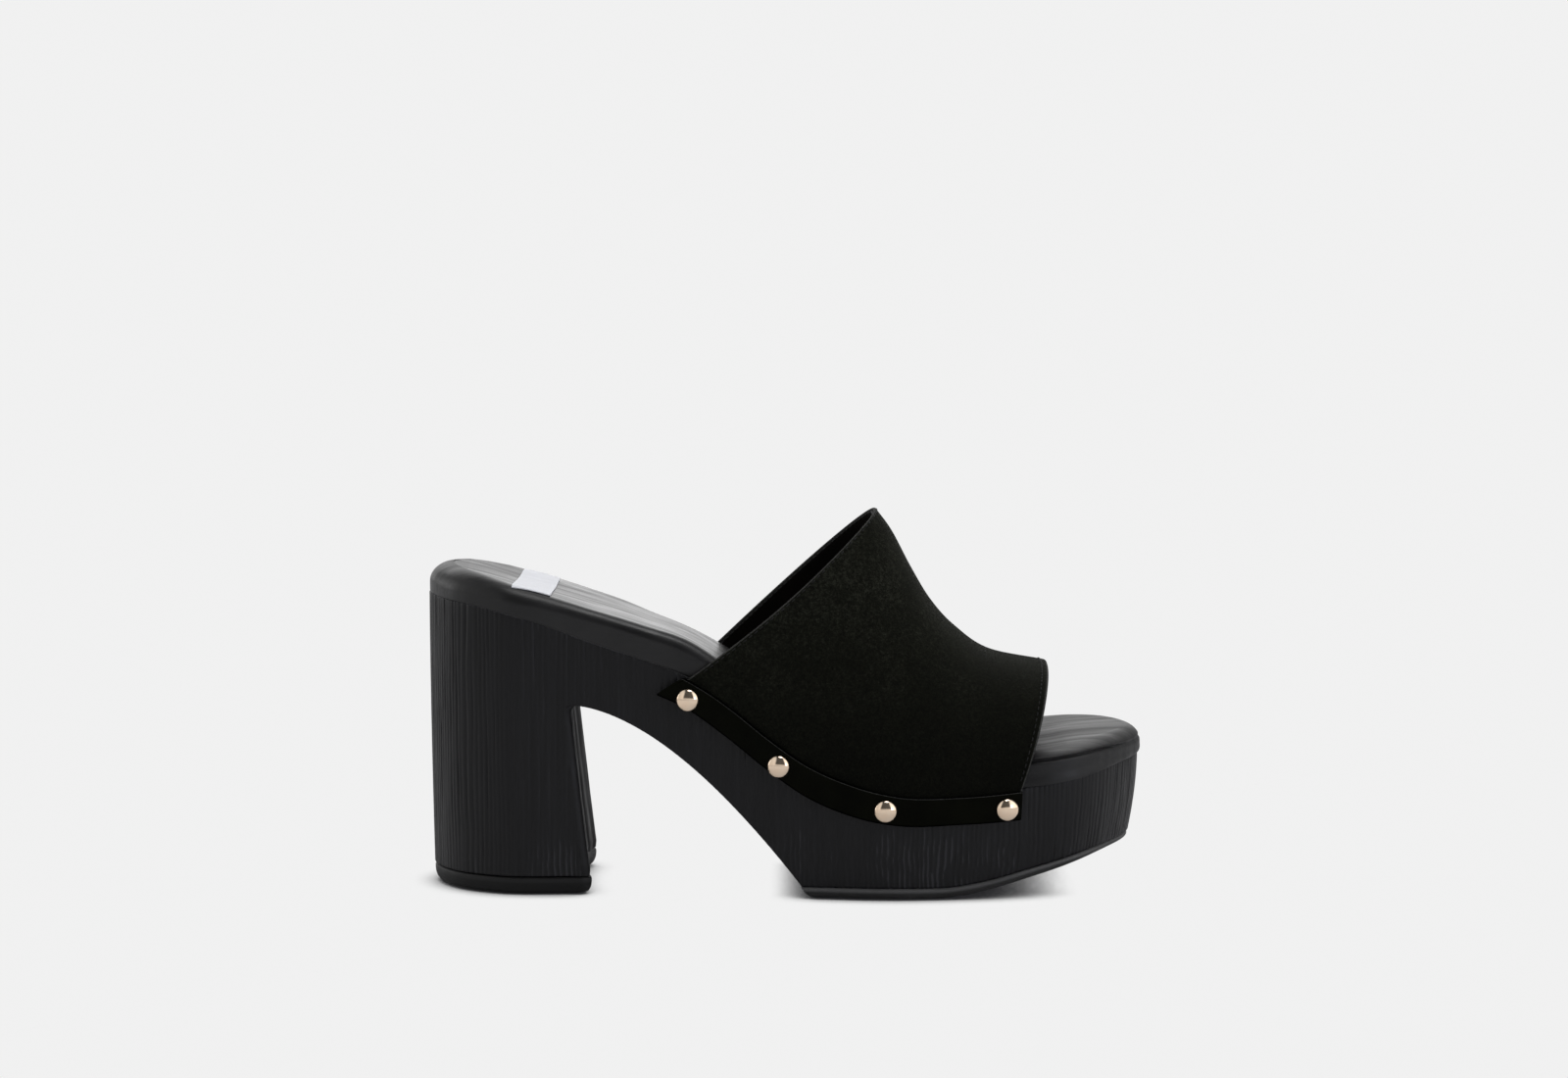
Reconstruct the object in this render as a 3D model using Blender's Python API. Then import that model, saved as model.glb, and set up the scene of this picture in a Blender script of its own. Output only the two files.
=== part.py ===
"""Platform clog, right shoe: a peep-toe mule with a block heel.

The model is in metres, +Z up, +X towards the toe and -Y towards the outer (lateral) side.
It stands on its heel top piece and its forefoot, with the origin under the middle of its box.
All sizes below are in millimetres and become metres where a mesh is made.
"""
import math
from collections import namedtuple

import bmesh
import bpy
import numpy as np
from mathutils import Matrix, Vector

# ---------------------------------------------------------------- driving sizes, millimetres
MM = 0.001
GAP = 0.3
LATERAL = -1
MEDIAL = 1

# unit sole and heel
OUTSOLE_THICKNESS = 4.0
TOE_SPRING = 15.0
OUTSOLE_THICKER = 0.12
SEAM_SINKS = 0.185
TIP_DRAWN_IN = 1.1
TIP_DRAWN_X = (98.0, 116.0)
SPRING_FROM_X = 52.0
SPRING_POWER = 1.7
HEEL_INSET = 1.1
FOREFOOT_INSET = 3.0
INSET_FROM_X = -40.0
INSET_TO_X = 20.0
WALL_POWER = 1.8
EDGE_ROUND = 1.0

# breast of the heel and arch
BREAST_TOP_X = -70.7
BREAST_FOOT_X = -63.3
BREAST_POWER = 0.85
BREAST_CORNER = 3.2
BREAST_HOLLOW = 3.6
BREAST_FILLET = 3.0
ARCH_TOP = 64.4
ARCH_LENGTH = 75.6
ARCH_DROP = 59.6
ARCH_POWER = 1.68
UNDER_ARCH_X = -37.5

# rubber top piece under the heel
HEEL_BASE = 6.3
TOP_PIECE_PROUD = -0.2
TOP_PIECE_SET_BACK = -0.2

# footbed
FOOTBED_OVERHANG_HEEL = -0.2
FOOTBED_OVERHANG_TOE = 1.0
FOOTBED_UNDER_VAMP = -1.0
COVERED_FROM_X = (-44.0, -31.0)
COVERED_TO_X = (77.0, 90.0)
FOOTBED_TUCK = 0.8
BULGE_SHARE = 0.24
ROLL_SHARE = 0.66

# upper and the strips over its hem
VAMP_THICKNESS = 1.8
STRIP_THICKNESS = 1.2
JOINT_V = 0.86

# nails
STUD_RADIUS = 3.8
STUD_HEIGHT = 2.4
STUD_RIM = 0.5
SHANK_RADIUS = 0.9
SHANK_DEPTH = 9.0
SHANK_POINT = 1.0
SHANK_CLEARANCE = 0.35
BORE_EXTRA = 2.0

# label
LABEL_FROM_X = -90.0
LABEL_TO_X = -77.2
LABEL_FROM_Y = -24.8
LABEL_SKEW = 0.02
LABEL_TO_Y = 22.0
LABEL_THICKNESS = 0.5
LABEL_LIFT = 0.6

# ---------------------------------------------------------------- how finely things are cut up
OUTLINE_STEPS = 24
STATIONS = 44
OUTSOLE_STATIONS = 29
HEEL_STATIONS = 20
WALL_PARTS = (0.96, 0.8, 0.6, 0.35, 0.0)
ARCH_STEPS = 14
CORNER_STEPS = 4
HOLLOW_STEPS = 8
FILLET_STEPS = 3
BREAST_HEIGHTS = (6.0, 20.0, 40.0)
CUTTER_REACH = 60.0
CUTTER_BELOW = -5.0
ROLL_STEPS = 3
LABEL_ROWS = 4
LABEL_COLUMNS = 9
UPPER_STEPS = 22
CROWN_STEPS = 11
HEM_STEPS = 2
NORMAL_STEP = 0.004
STUD_SEGMENTS = 14
DOME_STEPS = 4
BORE_SIDES = 10
U_SEARCH = 200
SAME_PLACE = 0.01
SHARP_DEGREES = 35.0

# ---------------------------------------------------------------- shape tables, millimetres
Outline = namedtuple("Outline", "place x y")
OUTLINE = (
    Outline("heel back", -119.6, 0.5),
    Outline("heel back, lateral", -111.5, -18.0),
    Outline("heel, lateral", -95.0, -28.0),
    Outline("seat, lateral", -70.0, -29.0),
    Outline("waist, lateral", -40.0, -30.5),
    Outline("shank, lateral", -12.0, -33.8),
    Outline("joint, lateral", 12.0, -37.6),
    Outline("ball, lateral", 34.0, -40.0),
    Outline("little toe", 58.0, -38.4),
    Outline("toes, lateral", 80.0, -35.4),
    Outline("toe corner, lateral", 98.0, -30.6),
    Outline("beside the tip, lateral", 112.0, -15.5),
    Outline("tip", 120.0, 6.5),
    Outline("beside the tip, medial", 112.5, 28.0),
    Outline("toe corner, medial", 99.0, 39.0),
    Outline("big toe", 76.0, 43.0),
    Outline("ball, medial", 48.0, 41.0),
    Outline("shank, medial", 16.0, 34.5),
    Outline("waist, medial", -16.0, 28.8),
    Outline("seat, medial", -55.0, 27.5),
    Outline("heel, medial", -95.0, 28.5),
    Outline("heel back, medial", -111.5, 19.0),
)

Seat = namedtuple("Seat", "x z")
SEAT = (
    Seat(-119.0, 99.0),
    Seat(-104.0, 97.5),
    Seat(-85.0, 93.1),
    Seat(-65.0, 86.0),
    Seat(-48.0, 80.3),
    Seat(-32.0, 74.4),
    Seat(-18.0, 65.3),
    Seat(-5.0, 55.2),
    Seat(8.0, 46.4),
    Seat(22.0, 40.4),
    Seat(38.0, 36.4),
    Seat(58.0, 36.0),
    Seat(80.0, 37.7),
    Seat(98.0, 40.35),
    Seat(108.0, 42.3),
    Seat(120.0, 43.2),
)

Footbed = namedtuple("Footbed", "x lateral medial roll")
FOOTBED = (
    Footbed(-119.0, 10.0, 10.0, 8.0),
    Footbed(-95.0, 9.4, 8.6, 6.0),
    Footbed(-60.0, 10.8, 10.0, 4.0),
    Footbed(-34.0, 11.4, 8.4, 4.0),
    Footbed(-12.0, 11.4, 10.0, 4.0),
    Footbed(30.0, 11.0, 11.0, 4.0),
    Footbed(85.0, 10.8, 11.0, 4.5),
    Footbed(98.0, 10.35, 10.4, 4.7),
    Footbed(108.0, 9.4, 9.4, 4.8),
    Footbed(121.0, 9.2, 9.2, 5.0),
)

Section = namedtuple("Section", "hem_x hem_drop joint_x medial_forward "
                     "ridge_x ridge_y ridge_z flank crown lateral_bow medial_bow")
SECTIONS = (
    Section(-40.8, 9.6, -31.5, 3.6, 29.3, 0.0, 125.9, 2.3, 2.6, -2.0, 0.25),
    Section(-18.5, 10.8, -12.0, 2.2, 34.8, 0.4, 118.3, 2.3, 2.5, -1.5, 0.1),
    Section(3.0, 10.9, 8.0, 1.0, 41.4, 1.0, 105.7, 2.3, 2.4, -0.8, 0.0),
    Section(23.5, 10.6, 26.0, 0.0, 48.1, 1.8, 94.5, 2.4, 2.3, 0.0, 0.0),
    Section(41.0, 9.8, 42.0, 0.0, 56.4, 2.8, 85.1, 2.5, 2.3, 0.0, 0.0),
    Section(58.0, 9.4, 58.4, 0.0, 68.8, 3.8, 76.4, 2.6, 2.3, -0.2, -0.2),
    Section(78.2, 9.7, 78.6, 0.0, 88.9, 4.5, 71.9, 2.7, 2.4, -0.6, -0.6),
)

HeelLevel = namedtuple("HeelLevel", "z drawn_in")
HEEL_LEVELS = (
    HeelLevel(0.0, 3.3),
    HeelLevel(0.4, 2.0),
    HeelLevel(1.2, 1.0),
    HeelLevel(2.5, 0.3),
    HeelLevel(4.0, 0.0),
    HeelLevel(5.6, 0.0),
    HeelLevel(HEEL_BASE, 0.7),
)

OutsoleLevel = namedtuple("OutsoleLevel", "height inset rear_x")
OUTSOLE_LEVELS = (
    OutsoleLevel(0.0, 6.0, 9.7),
    OutsoleLevel(0.4, 4.4, 8.7),
    OutsoleLevel(1.2, 3.1, 7.6),
    OutsoleLevel(2.1, 2.4, 6.7),
    OutsoleLevel(3.0, 2.3, 6.0),
    OutsoleLevel(3.6, 2.7, 5.5),
    OutsoleLevel(4.0, 3.5, 5.2),
)

Nail = namedtuple("Nail", "x down")
NAILS = (
    Nail(-31.6, 0.68),
    Nail(-1.2, 0.60),
    Nail(33.7, 0.54),
    Nail(73.4, 0.56),
)

Colour = namedtuple("Colour", "name red green blue roughness metallic")
COLOURS = {
    "platform": Colour("moulded platform", 0.016, 0.016, 0.017, 0.45, 0.0),
    "rubber": Colour("black rubber", 0.012, 0.012, 0.012, 0.7, 0.0),
    "footbed": Colour("footbed leather", 0.035, 0.035, 0.037, 0.4, 0.0),
    "suede": Colour("black suede", 0.008, 0.008, 0.007, 0.95, 0.0),
    "strip": Colour("smooth black leather", 0.004, 0.004, 0.004, 0.3, 0.0),
    "stud": Colour("rose gold", 0.80, 0.56, 0.44, 0.2, 1.0),
    "label": Colour("white label", 0.85, 0.85, 0.85, 0.6, 0.0),
}


# ---------------------------------------------------------------- curves through tables
def slopes(places, values):
    """Slope at each row, weighted by the spacing on both sides."""
    steps = np.diff(places)
    rates = np.diff(values) / steps
    inner = (rates[:-1] * steps[1:] + rates[1:] * steps[:-1]) / (steps[:-1] + steps[1:])
    return np.concatenate([rates[:1], inner, rates[-1:]])


def through(places, values, place):
    """Smooth curve through the rows of a table (cubic Hermite), level beyond its ends."""
    places = np.asarray(places, float)
    values = np.asarray(values, float)
    place = np.clip(place, places[0], places[-1])
    row = np.clip(np.searchsorted(places, place) - 1, 0, len(places) - 2)
    rate = slopes(places, values)
    step = places[row + 1] - places[row]
    part = (place - places[row]) / step
    start = (1 + 2 * part) * (1 - part) ** 2 * values[row] + part * (1 - part) ** 2 * step * rate[row]
    end = part ** 2 * (3 - 2 * part) * values[row + 1] - part ** 2 * (1 - part) * step * rate[row + 1]
    return start + end


def column(table, name):
    return [getattr(row, name) for row in table]


def smoothstep(low, high, value):
    part = np.clip((value - low) / (high - low), 0.0, 1.0)
    return part * part * (3 - 2 * part)


def closed_outline():
    """The sole's outline from above as one dense closed curve through OUTLINE."""
    points = np.array([(row.x, row.y) for row in OUTLINE])
    wrapped = np.vstack([points[-3:], points, points[:4]])
    lengths = np.linalg.norm(np.diff(wrapped, axis=0), axis=1)
    along = np.concatenate([[0.0], np.cumsum(lengths)])
    start = along[3]
    end = along[3 + len(points)]
    dense = np.linspace(start, end, OUTLINE_STEPS * len(points), endpoint=False)
    xs = through(along, wrapped[:, 0], dense)
    ys = through(along, wrapped[:, 1], dense)
    return np.stack([xs, ys], axis=1)


def split_outline():
    """The outline as two runs from the back of the heel to the tip of the toe."""
    curve = closed_outline()
    curve = np.roll(curve, -int(np.argmin(curve[:, 0])), axis=0)
    tip = int(np.argmax(curve[:, 0]))
    lateral = curve[:tip + 1]
    medial = np.vstack([curve[tip:], curve[:1]])[::-1]
    return {LATERAL: lateral, MEDIAL: medial}


EDGE = split_outline()
BACK_X = float(EDGE[LATERAL][0, 0])
TIP_X = float(EDGE[LATERAL][-1, 0])


def edge_at(side, x):
    """Point of the outline on one side at x, and the outward normal there, in plan."""
    run = EDGE[side]
    y = float(np.interp(x, run[:, 0], run[:, 1]))
    ahead = np.searchsorted(run[:, 0], x)
    ahead = int(np.clip(ahead, 2, len(run) - 2))
    tangent = run[ahead + 1] - run[ahead - 2]
    tangent = tangent / np.linalg.norm(tangent)
    normal = np.array([-tangent[1], tangent[0]]) * side
    return np.array([x, y]), normal


def seat_z(x):
    """Height of the joint between platform and footbed."""
    return float(through(column(SEAT, "x"), column(SEAT, "z"), x))


def spring_z(x):
    """How far the underside of the forefoot has left the floor."""
    part = np.clip((x - SPRING_FROM_X) / (TIP_X - SPRING_FROM_X), 0.0, 1.0)
    return TOE_SPRING * math.sin(part * math.pi / 2) ** SPRING_POWER


def arch_z(x):
    """Underside of the arch, from the breast of the heel down to the forefoot."""
    part = max(x - BREAST_TOP_X, 0.0) / ARCH_LENGTH
    return ARCH_TOP - ARCH_DROP * part ** ARCH_POWER


def base_z(x):
    """Lower end of the platform's side wall before the arch is cut."""
    if x < UNDER_ARCH_X:
        return HEEL_BASE + GAP
    return OUTSOLE_THICKNESS + GAP + spring_z(x) * (1 - SEAM_SINKS)


def base_inset(x):
    """How far the side wall has drawn in at its lower end."""
    forward = float(smoothstep(INSET_FROM_X, INSET_TO_X, x))
    return HEEL_INSET + (FOREFOOT_INSET - HEEL_INSET) * forward


def wall_inset(x, part):
    """How far the side wall has drawn in at a part, 0 to 1, of its way down."""
    return base_inset(x) * max(part, 0.0) ** WALL_POWER


def wall(side, x, drop, out):
    """Point at a height `drop` under the joint on the platform's side wall, moved outwards."""
    edge, normal = edge_at(side, x)
    part = drop / (seat_z(x) - base_z(x))
    plan = edge + normal * (out - wall_inset(x, part))
    return np.array([plan[0], plan[1], seat_z(x) - drop])


# ---------------------------------------------------------------- meshes
def remove_everything():
    for thing in list(bpy.data.objects):
        bpy.data.objects.remove(thing, do_unlink=True)


def material(key):
    colour = COLOURS[key]
    found = bpy.data.materials.get(colour.name)
    if found:
        return found
    made = bpy.data.materials.new(colour.name)
    made.use_nodes = True
    shader = made.node_tree.nodes["Principled BSDF"]
    shader.inputs["Base Color"].default_value = (colour.red, colour.green, colour.blue, 1.0)
    shader.inputs["Roughness"].default_value = colour.roughness
    shader.inputs["Metallic"].default_value = colour.metallic
    made.diffuse_color = (colour.red, colour.green, colour.blue, 1.0)
    return made


def new_object(name, points, faces, look):
    """Object from points in millimetres; repeated points are merged and outward faces kept."""
    mesh = bpy.data.meshes.new(name)
    form = bmesh.new()
    corners = [form.verts.new(Vector(point) * MM) for point in points]
    for face in faces:
        form.faces.new([corners[index] for index in face])
    bmesh.ops.remove_doubles(form, verts=form.verts, dist=SAME_PLACE * MM)
    bmesh.ops.recalc_face_normals(form, faces=form.faces)
    form.to_mesh(mesh)
    form.free()
    mesh.shade_smooth()
    mesh.set_sharp_from_angle(angle=math.radians(SHARP_DEGREES))
    made = bpy.data.objects.new(name, mesh)
    bpy.context.collection.objects.link(made)
    made.data.materials.append(material(look))
    made.parent = ROOT
    return made


def as_cutter(thing):
    thing.hide_render = True
    thing.display_type = "WIRE"


def cut(thing, cutter):
    """Take the cutter's space out of an object."""
    step = thing.modifiers.new(cutter.name, "BOOLEAN")
    step.operation = "DIFFERENCE"
    step.solver = "EXACT"
    step.object = cutter


def stack(levels):
    """Closed skin over levels, each a list of (lateral, medial) point pairs from back to front.

    The first and last levels are closed by strips across from pair to pair.
    """
    rows = len(levels[0])
    points = [point for level in levels for pair in level for point in pair]

    def index(level, row, which):
        return (level * rows + row) * 2 + which

    faces = []
    for level in range(len(levels) - 1):
        for row in range(rows - 1):
            for which in (0, 1):
                faces.append((index(level, row, which), index(level, row + 1, which),
                              index(level + 1, row + 1, which), index(level + 1, row, which)))
        for row in (0, rows - 1):
            faces.append((index(level, row, 0), index(level, row, 1),
                          index(level + 1, row, 1), index(level + 1, row, 0)))
    for level in (0, len(levels) - 1):
        for row in range(rows - 1):
            faces.append((index(level, row, 0), index(level, row + 1, 0),
                          index(level, row + 1, 1), index(level, row, 1)))
    return points, faces


def tidy_faces(points, faces):
    """Faces without corners that share a place, so that pointed ends stay closed."""
    keys = [tuple(np.round(np.asarray(point, float), 4)) for point in points]
    first = {}
    for number, key in enumerate(keys):
        first.setdefault(key, number)
    kept = []
    for face in faces:
        corners = []
        for number in face:
            same = first[keys[number]]
            if same not in corners:
                corners.append(same)
        if len(corners) > 2:
            kept.append(tuple(corners))
    used = sorted({number for face in kept for number in face})
    renumbered = {old: new for new, old in enumerate(used)}
    return [points[old] for old in used], [tuple(renumbered[old] for old in face) for face in kept]


def stations(start, end, count):
    """x places from start to end, closer together towards both ends."""
    turns = np.linspace(0.0, math.pi, count + 1)
    return start + (end - start) * (1 - np.cos(turns)) / 2


def level_of(xs, inset, height):
    """One level of a loft: the outline drawn in by `inset(x)` at the height `height(x, side)`."""
    pairs = []
    for x in xs:
        pair = []
        for side in (LATERAL, MEDIAL):
            edge, normal = edge_at(side, x)
            if x in (xs[0], xs[-1]) and abs(x - BACK_X) < 1e-6:
                normal = np.array([-1.0, 0.0])
            if x in (xs[0], xs[-1]) and abs(x - TIP_X) < 1e-6:
                normal = np.array([1.0, 0.0])
            plan = edge - normal * inset(x, side)
            pair.append((plan[0], plan[1], height(x, side)))
        pairs.append(pair)
    return pairs


# ---------------------------------------------------------------- platform and what it stands on
def make_platform():
    """Unit sole and block heel in one: the outline lofted from the seat down, then the arch cut."""
    xs = stations(BACK_X, TIP_X, STATIONS)
    levels = [level_of(xs, lambda x, side: base_inset(x) + EDGE_ROUND, lambda x, side: base_z(x))]
    for part in WALL_PARTS:
        levels.append(level_of(
            xs, lambda x, side: wall_inset(x, part),
            lambda x, side: seat_z(x) + (base_z(x) - seat_z(x)) * part))
    made = new_object("platform", *tidy_faces(*stack(levels)), "platform")
    cut(made, make_arch_cutter())
    return made


def breast_x(z):
    """The breast of the heel leans forwards towards its foot."""
    return BREAST_FOOT_X + (BREAST_TOP_X - BREAST_FOOT_X) * (max(z, 0.0) / ARCH_TOP) ** BREAST_POWER


def breast_places():
    """Places (share, turn) across the breast: lateral corner, hollow middle, medial corner."""
    turns = [math.pi / 2 * step / CORNER_STEPS for step in range(CORNER_STEPS + 1)]
    middle = [(share, 0.0) for share in np.linspace(-1.0, 1.0, HOLLOW_STEPS + 1)[1:-1]]
    return [(-1.0, turn) for turn in reversed(turns)] + middle + [(1.0, turn) for turn in turns]


def breast_point(share, turn, z, out=0.0):
    """Point of the breast in plan: rounded into the walls at its sides, hollow in its middle."""
    side = LATERAL if share < 0 else MEDIAL
    x = breast_x(z) + out
    half = abs(wall(side, x, seat_z(x) - max(z, HEEL_BASE), out)[1])
    y = share * (half - BREAST_CORNER) + side * BREAST_CORNER * math.sin(turn)
    back = BREAST_CORNER * (1 - math.cos(turn)) + BREAST_HOLLOW * (1 - share ** 2)
    return x - back, y


def arch_profile(share, turn):
    """Closed run of points of the arch's space at one place across the breast."""
    run = []
    for z in (CUTTER_BELOW, *BREAST_HEIGHTS, ARCH_TOP - BREAST_FILLET):
        run.append((*breast_point(share, turn, z), z))
    top_x, y = breast_point(share, turn, ARCH_TOP)
    for step in range(1, FILLET_STEPS + 1):
        angle = math.pi / 2 * step / FILLET_STEPS
        x = top_x + BREAST_FILLET * (1 - math.cos(angle))
        run.append((x, y, ARCH_TOP - BREAST_FILLET * (1 - math.sin(angle))))
    reach = ((ARCH_TOP - CUTTER_BELOW) / ARCH_DROP) ** (1 / ARCH_POWER) * ARCH_LENGTH
    for step in range(1, ARCH_STEPS + 1):
        x = BREAST_TOP_X + BREAST_FILLET + (reach - BREAST_FILLET) * step / ARCH_STEPS
        run.append((x, y, arch_z(x)))
    return run


def loft(loops):
    """Closed skin over loops of equally many points, closed by a flat face at each end."""
    count = len(loops[0])
    points = [point for loop in loops for point in loop]
    faces = [tuple(range(count)), tuple(range(len(points) - count, len(points)))]
    for row in range(len(loops) - 1):
        for place in range(count):
            beside = (place + 1) % count
            faces.append((row * count + place, row * count + beside,
                          (row + 1) * count + beside, (row + 1) * count + place))
    return points, faces


def make_arch_cutter():
    """The space under the arch, run from side to side."""
    runs = [arch_profile(share, turn) for share, turn in breast_places()]
    outer_lateral = [(x, -CUTTER_REACH, z) for x, y, z in runs[0]]
    outer_medial = [(x, CUTTER_REACH, z) for x, y, z in runs[-1]]
    cutter = new_object("arch_space", *loft([outer_lateral, *runs, outer_medial]), "platform")
    as_cutter(cutter)
    return cutter


def heel_loop(level):
    """Closed loop round the heel's foot at one level: lateral wall, back, medial wall, breast."""
    out = TOP_PIECE_PROUD - level.drawn_in
    breast = [breast_point(share, turn, HEEL_BASE, out) for share, turn in breast_places()]
    breast = [(x - TOP_PIECE_SET_BACK, y) for x, y in breast]
    xs = stations(BACK_X, breast[0][0], HEEL_STATIONS)[1:-1]
    lateral = [wall(LATERAL, x, seat_z(x) - HEEL_BASE, out)[:2] for x in reversed(xs)]
    back = (BACK_X + HEEL_INSET - out, EDGE[LATERAL][0, 1])
    medial = [wall(MEDIAL, x, seat_z(x) - HEEL_BASE, out)[:2] for x in xs]
    return [(x, y, level.z) for x, y in (*lateral, back, *medial, *reversed(breast))]


def make_heel_top_piece():
    """Rubber top piece: a rounded foot edge, and a shallow groove where it meets the heel."""
    return new_object("heel_top_piece", *loft([heel_loop(level) for level in HEEL_LEVELS]), "rubber")


def outsole_z(x, height):
    """Height of an outsole level: both its faces rise a little less than the toe springs up."""
    up = height / OUTSOLE_THICKNESS
    return height + spring_z(x) * (1 - OUTSOLE_THICKER * (1 - up) - SEAM_SINKS * up)


def make_outsole():
    """Thin tread layer under the forefoot, a little wider than the platform above it: a ledge."""
    def inset(row, x):
        return row.inset + TIP_DRAWN_IN * float(smoothstep(*TIP_DRAWN_X, x))

    levels = []
    for row in OUTSOLE_LEVELS:
        xs = stations(row.rear_x, TIP_X, OUTSOLE_STATIONS)
        levels.append(level_of(xs, lambda x, side: inset(row, x),
                               lambda x, side: outsole_z(x, row.height)))
    return new_object("outsole_forefoot", *tidy_faces(*stack(levels)), "rubber")


# ---------------------------------------------------------------- footbed and its label
def footbed_value(name, x):
    return float(through(column(FOOTBED, "x"), column(FOOTBED, name), x))


def footbed_thickness(x, side):
    return footbed_value("lateral" if side == LATERAL else "medial", x)


def footbed_overhang(x):
    """Proud of the platform at heel and toe, drawn in where the vamp comes down over it."""
    in_from_heel = float(smoothstep(*COVERED_FROM_X, x))
    out_to_toe = float(smoothstep(*COVERED_TO_X, x))
    drawn_in = (FOOTBED_UNDER_VAMP - FOOTBED_OVERHANG_HEEL) * in_from_heel
    return FOOTBED_OVERHANG_HEEL + drawn_in + (FOOTBED_OVERHANG_TOE - FOOTBED_UNDER_VAMP) * out_to_toe


def make_footbed():
    """Padded insole with a rolled edge, following the seat from heel to toe."""
    xs = stations(BACK_X, TIP_X, STATIONS)

    def roll_height(x, side):
        return min(footbed_value("roll", x), ROLL_SHARE * footbed_thickness(x, side))

    levels = [
        level_of(xs, lambda x, side: FOOTBED_TUCK - footbed_overhang(x),
                 lambda x, side: seat_z(x) + GAP),
        level_of(xs, lambda x, side: -footbed_overhang(x),
                 lambda x, side: seat_z(x) + GAP + BULGE_SHARE * footbed_thickness(x, side)),
    ]
    for step in range(ROLL_STEPS + 1):
        angle = math.pi / 2 * step / ROLL_STEPS
        levels.append(level_of(
            xs,
            lambda x, side: footbed_value("roll", x) * (1 - math.cos(angle)) - footbed_overhang(x),
            lambda x, side: (seat_z(x) + footbed_thickness(x, side)
                             - roll_height(x, side) * (1 - math.sin(angle)))))
    return new_object("footbed", *tidy_faces(*stack(levels)), "footbed")


def footbed_top(x, y):
    """Height of the footbed's upper face, level from side to side but for its two thicknesses."""
    lateral = edge_at(LATERAL, x)[0][1]
    medial = edge_at(MEDIAL, x)[0][1]
    across = (y - lateral) / (medial - lateral)
    thickness = footbed_thickness(x, LATERAL) * (1 - across) + footbed_thickness(x, MEDIAL) * across
    return seat_z(x) + thickness


def sheet(name, rows, columns, lower, upper, look):
    """Closed sheet between two functions of (row value, column value)."""
    points = [lower(row, place) for row in rows for place in columns]
    points += [upper(row, place) for row in rows for place in columns]
    wide = len(columns)
    half = len(rows) * wide
    faces = []
    for row in range(len(rows) - 1):
        for place in range(wide - 1):
            corner = row * wide + place
            faces.append((corner, corner + 1, corner + wide + 1, corner + wide))
            faces.append((half + corner, half + corner + wide, half + corner + wide + 1,
                          half + corner + 1))
    for row in range(len(rows) - 1):
        for place in (0, wide - 1):
            corner = row * wide + place
            faces.append((corner, corner + wide, half + corner + wide, half + corner))
    for place in range(wide - 1):
        for row in (0, len(rows) - 1):
            corner = row * wide + place
            faces.append((corner, corner + 1, half + corner + 1, half + corner))
    return new_object(name, points, faces, look)


def make_label():
    """Small label lying across the footbed near the heel, left without any print."""
    xs = np.linspace(LABEL_FROM_X, LABEL_TO_X, LABEL_ROWS)
    ys = np.linspace(LABEL_FROM_Y, LABEL_TO_Y, LABEL_COLUMNS)
    return sheet("footbed_label", xs, ys,
                 lambda x, y: (x + LABEL_SKEW * y, y, footbed_top(x, y) + LABEL_LIFT),
                 lambda x, y: (x + LABEL_SKEW * y, y, footbed_top(x, y) + LABEL_LIFT + LABEL_THICKNESS),
                 "label")


# ---------------------------------------------------------------- upper
def section_at(u):
    """The vamp's section at u, from 0 at the collar to 1 at the toe mouth."""
    places = np.linspace(0.0, 1.0, len(SECTIONS))
    return Section(*(float(through(places, column(SECTIONS, name), u)) for name in Section._fields))


def inner_point(u, v):
    """The vamp's inner face: v runs from -1, the lateral hem, over the ridge to +1, the medial hem."""
    row = section_at(u)
    side = LATERAL if v < 0 else MEDIAL
    amount = abs(v)
    forward = row.medial_forward if side == MEDIAL else 0.0
    if amount >= JOINT_V:
        down = (amount - JOINT_V) / (1 - JOINT_V)
        x = row.joint_x + (row.hem_x - row.joint_x) * down + forward
        return wall(side, x, row.hem_drop * down, GAP)
    turn = (1 - amount / JOINT_V) * math.pi / 2
    rise = math.sin(turn) ** (2 / row.flank)
    spread = math.cos(turn) ** (2 / row.crown)
    foot = wall(side, row.joint_x + forward, 0.0, GAP)
    lean = np.array([row.ridge_x - foot[0], row.ridge_z - foot[2]])
    across = np.array([-lean[1], lean[0]]) / np.linalg.norm(lean)
    bow = row.lateral_bow if side == LATERAL else row.medial_bow
    moved = lean * rise + across * bow * math.sin(math.pi * rise)
    y = row.ridge_y + (foot[1] - row.ridge_y) * spread
    return np.array([foot[0] + moved[0], y, foot[2] + moved[1]])


def upper_normal(u, v):
    """Outward normal of the vamp."""
    low_u = max(u - NORMAL_STEP, 0.0)
    high_u = min(u + NORMAL_STEP, 1.0)
    low_v = max(v - NORMAL_STEP, -1.0)
    high_v = min(v + NORMAL_STEP, 1.0)
    along = inner_point(high_u, v) - inner_point(low_u, v)
    over = inner_point(u, high_v) - inner_point(u, low_v)
    normal = np.cross(along, over)
    return normal / np.linalg.norm(normal)


def upper_point(u, v, out):
    """Point on the vamp, `out` millimetres outside its inner face."""
    return inner_point(u, v) + upper_normal(u, v) * out


def crown_places():
    """v places from hem to hem, closer together on the hems."""
    lateral_hem = list(np.linspace(-1.0, -JOINT_V, HEM_STEPS + 1))
    crown = list(np.linspace(-JOINT_V, JOINT_V, 2 * CROWN_STEPS + 1))[1:-1]
    medial_hem = list(np.linspace(JOINT_V, 1.0, HEM_STEPS + 1))
    return lateral_hem + crown + medial_hem


def make_vamp():
    """The upper: one shell of its real thickness, open at collar, mouth and underneath."""
    us = np.linspace(0.0, 1.0, UPPER_STEPS + 1)
    return sheet("vamp", us, crown_places(),
                 lambda u, v: upper_point(u, v, 0.0),
                 lambda u, v: upper_point(u, v, VAMP_THICKNESS), "suede")


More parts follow.
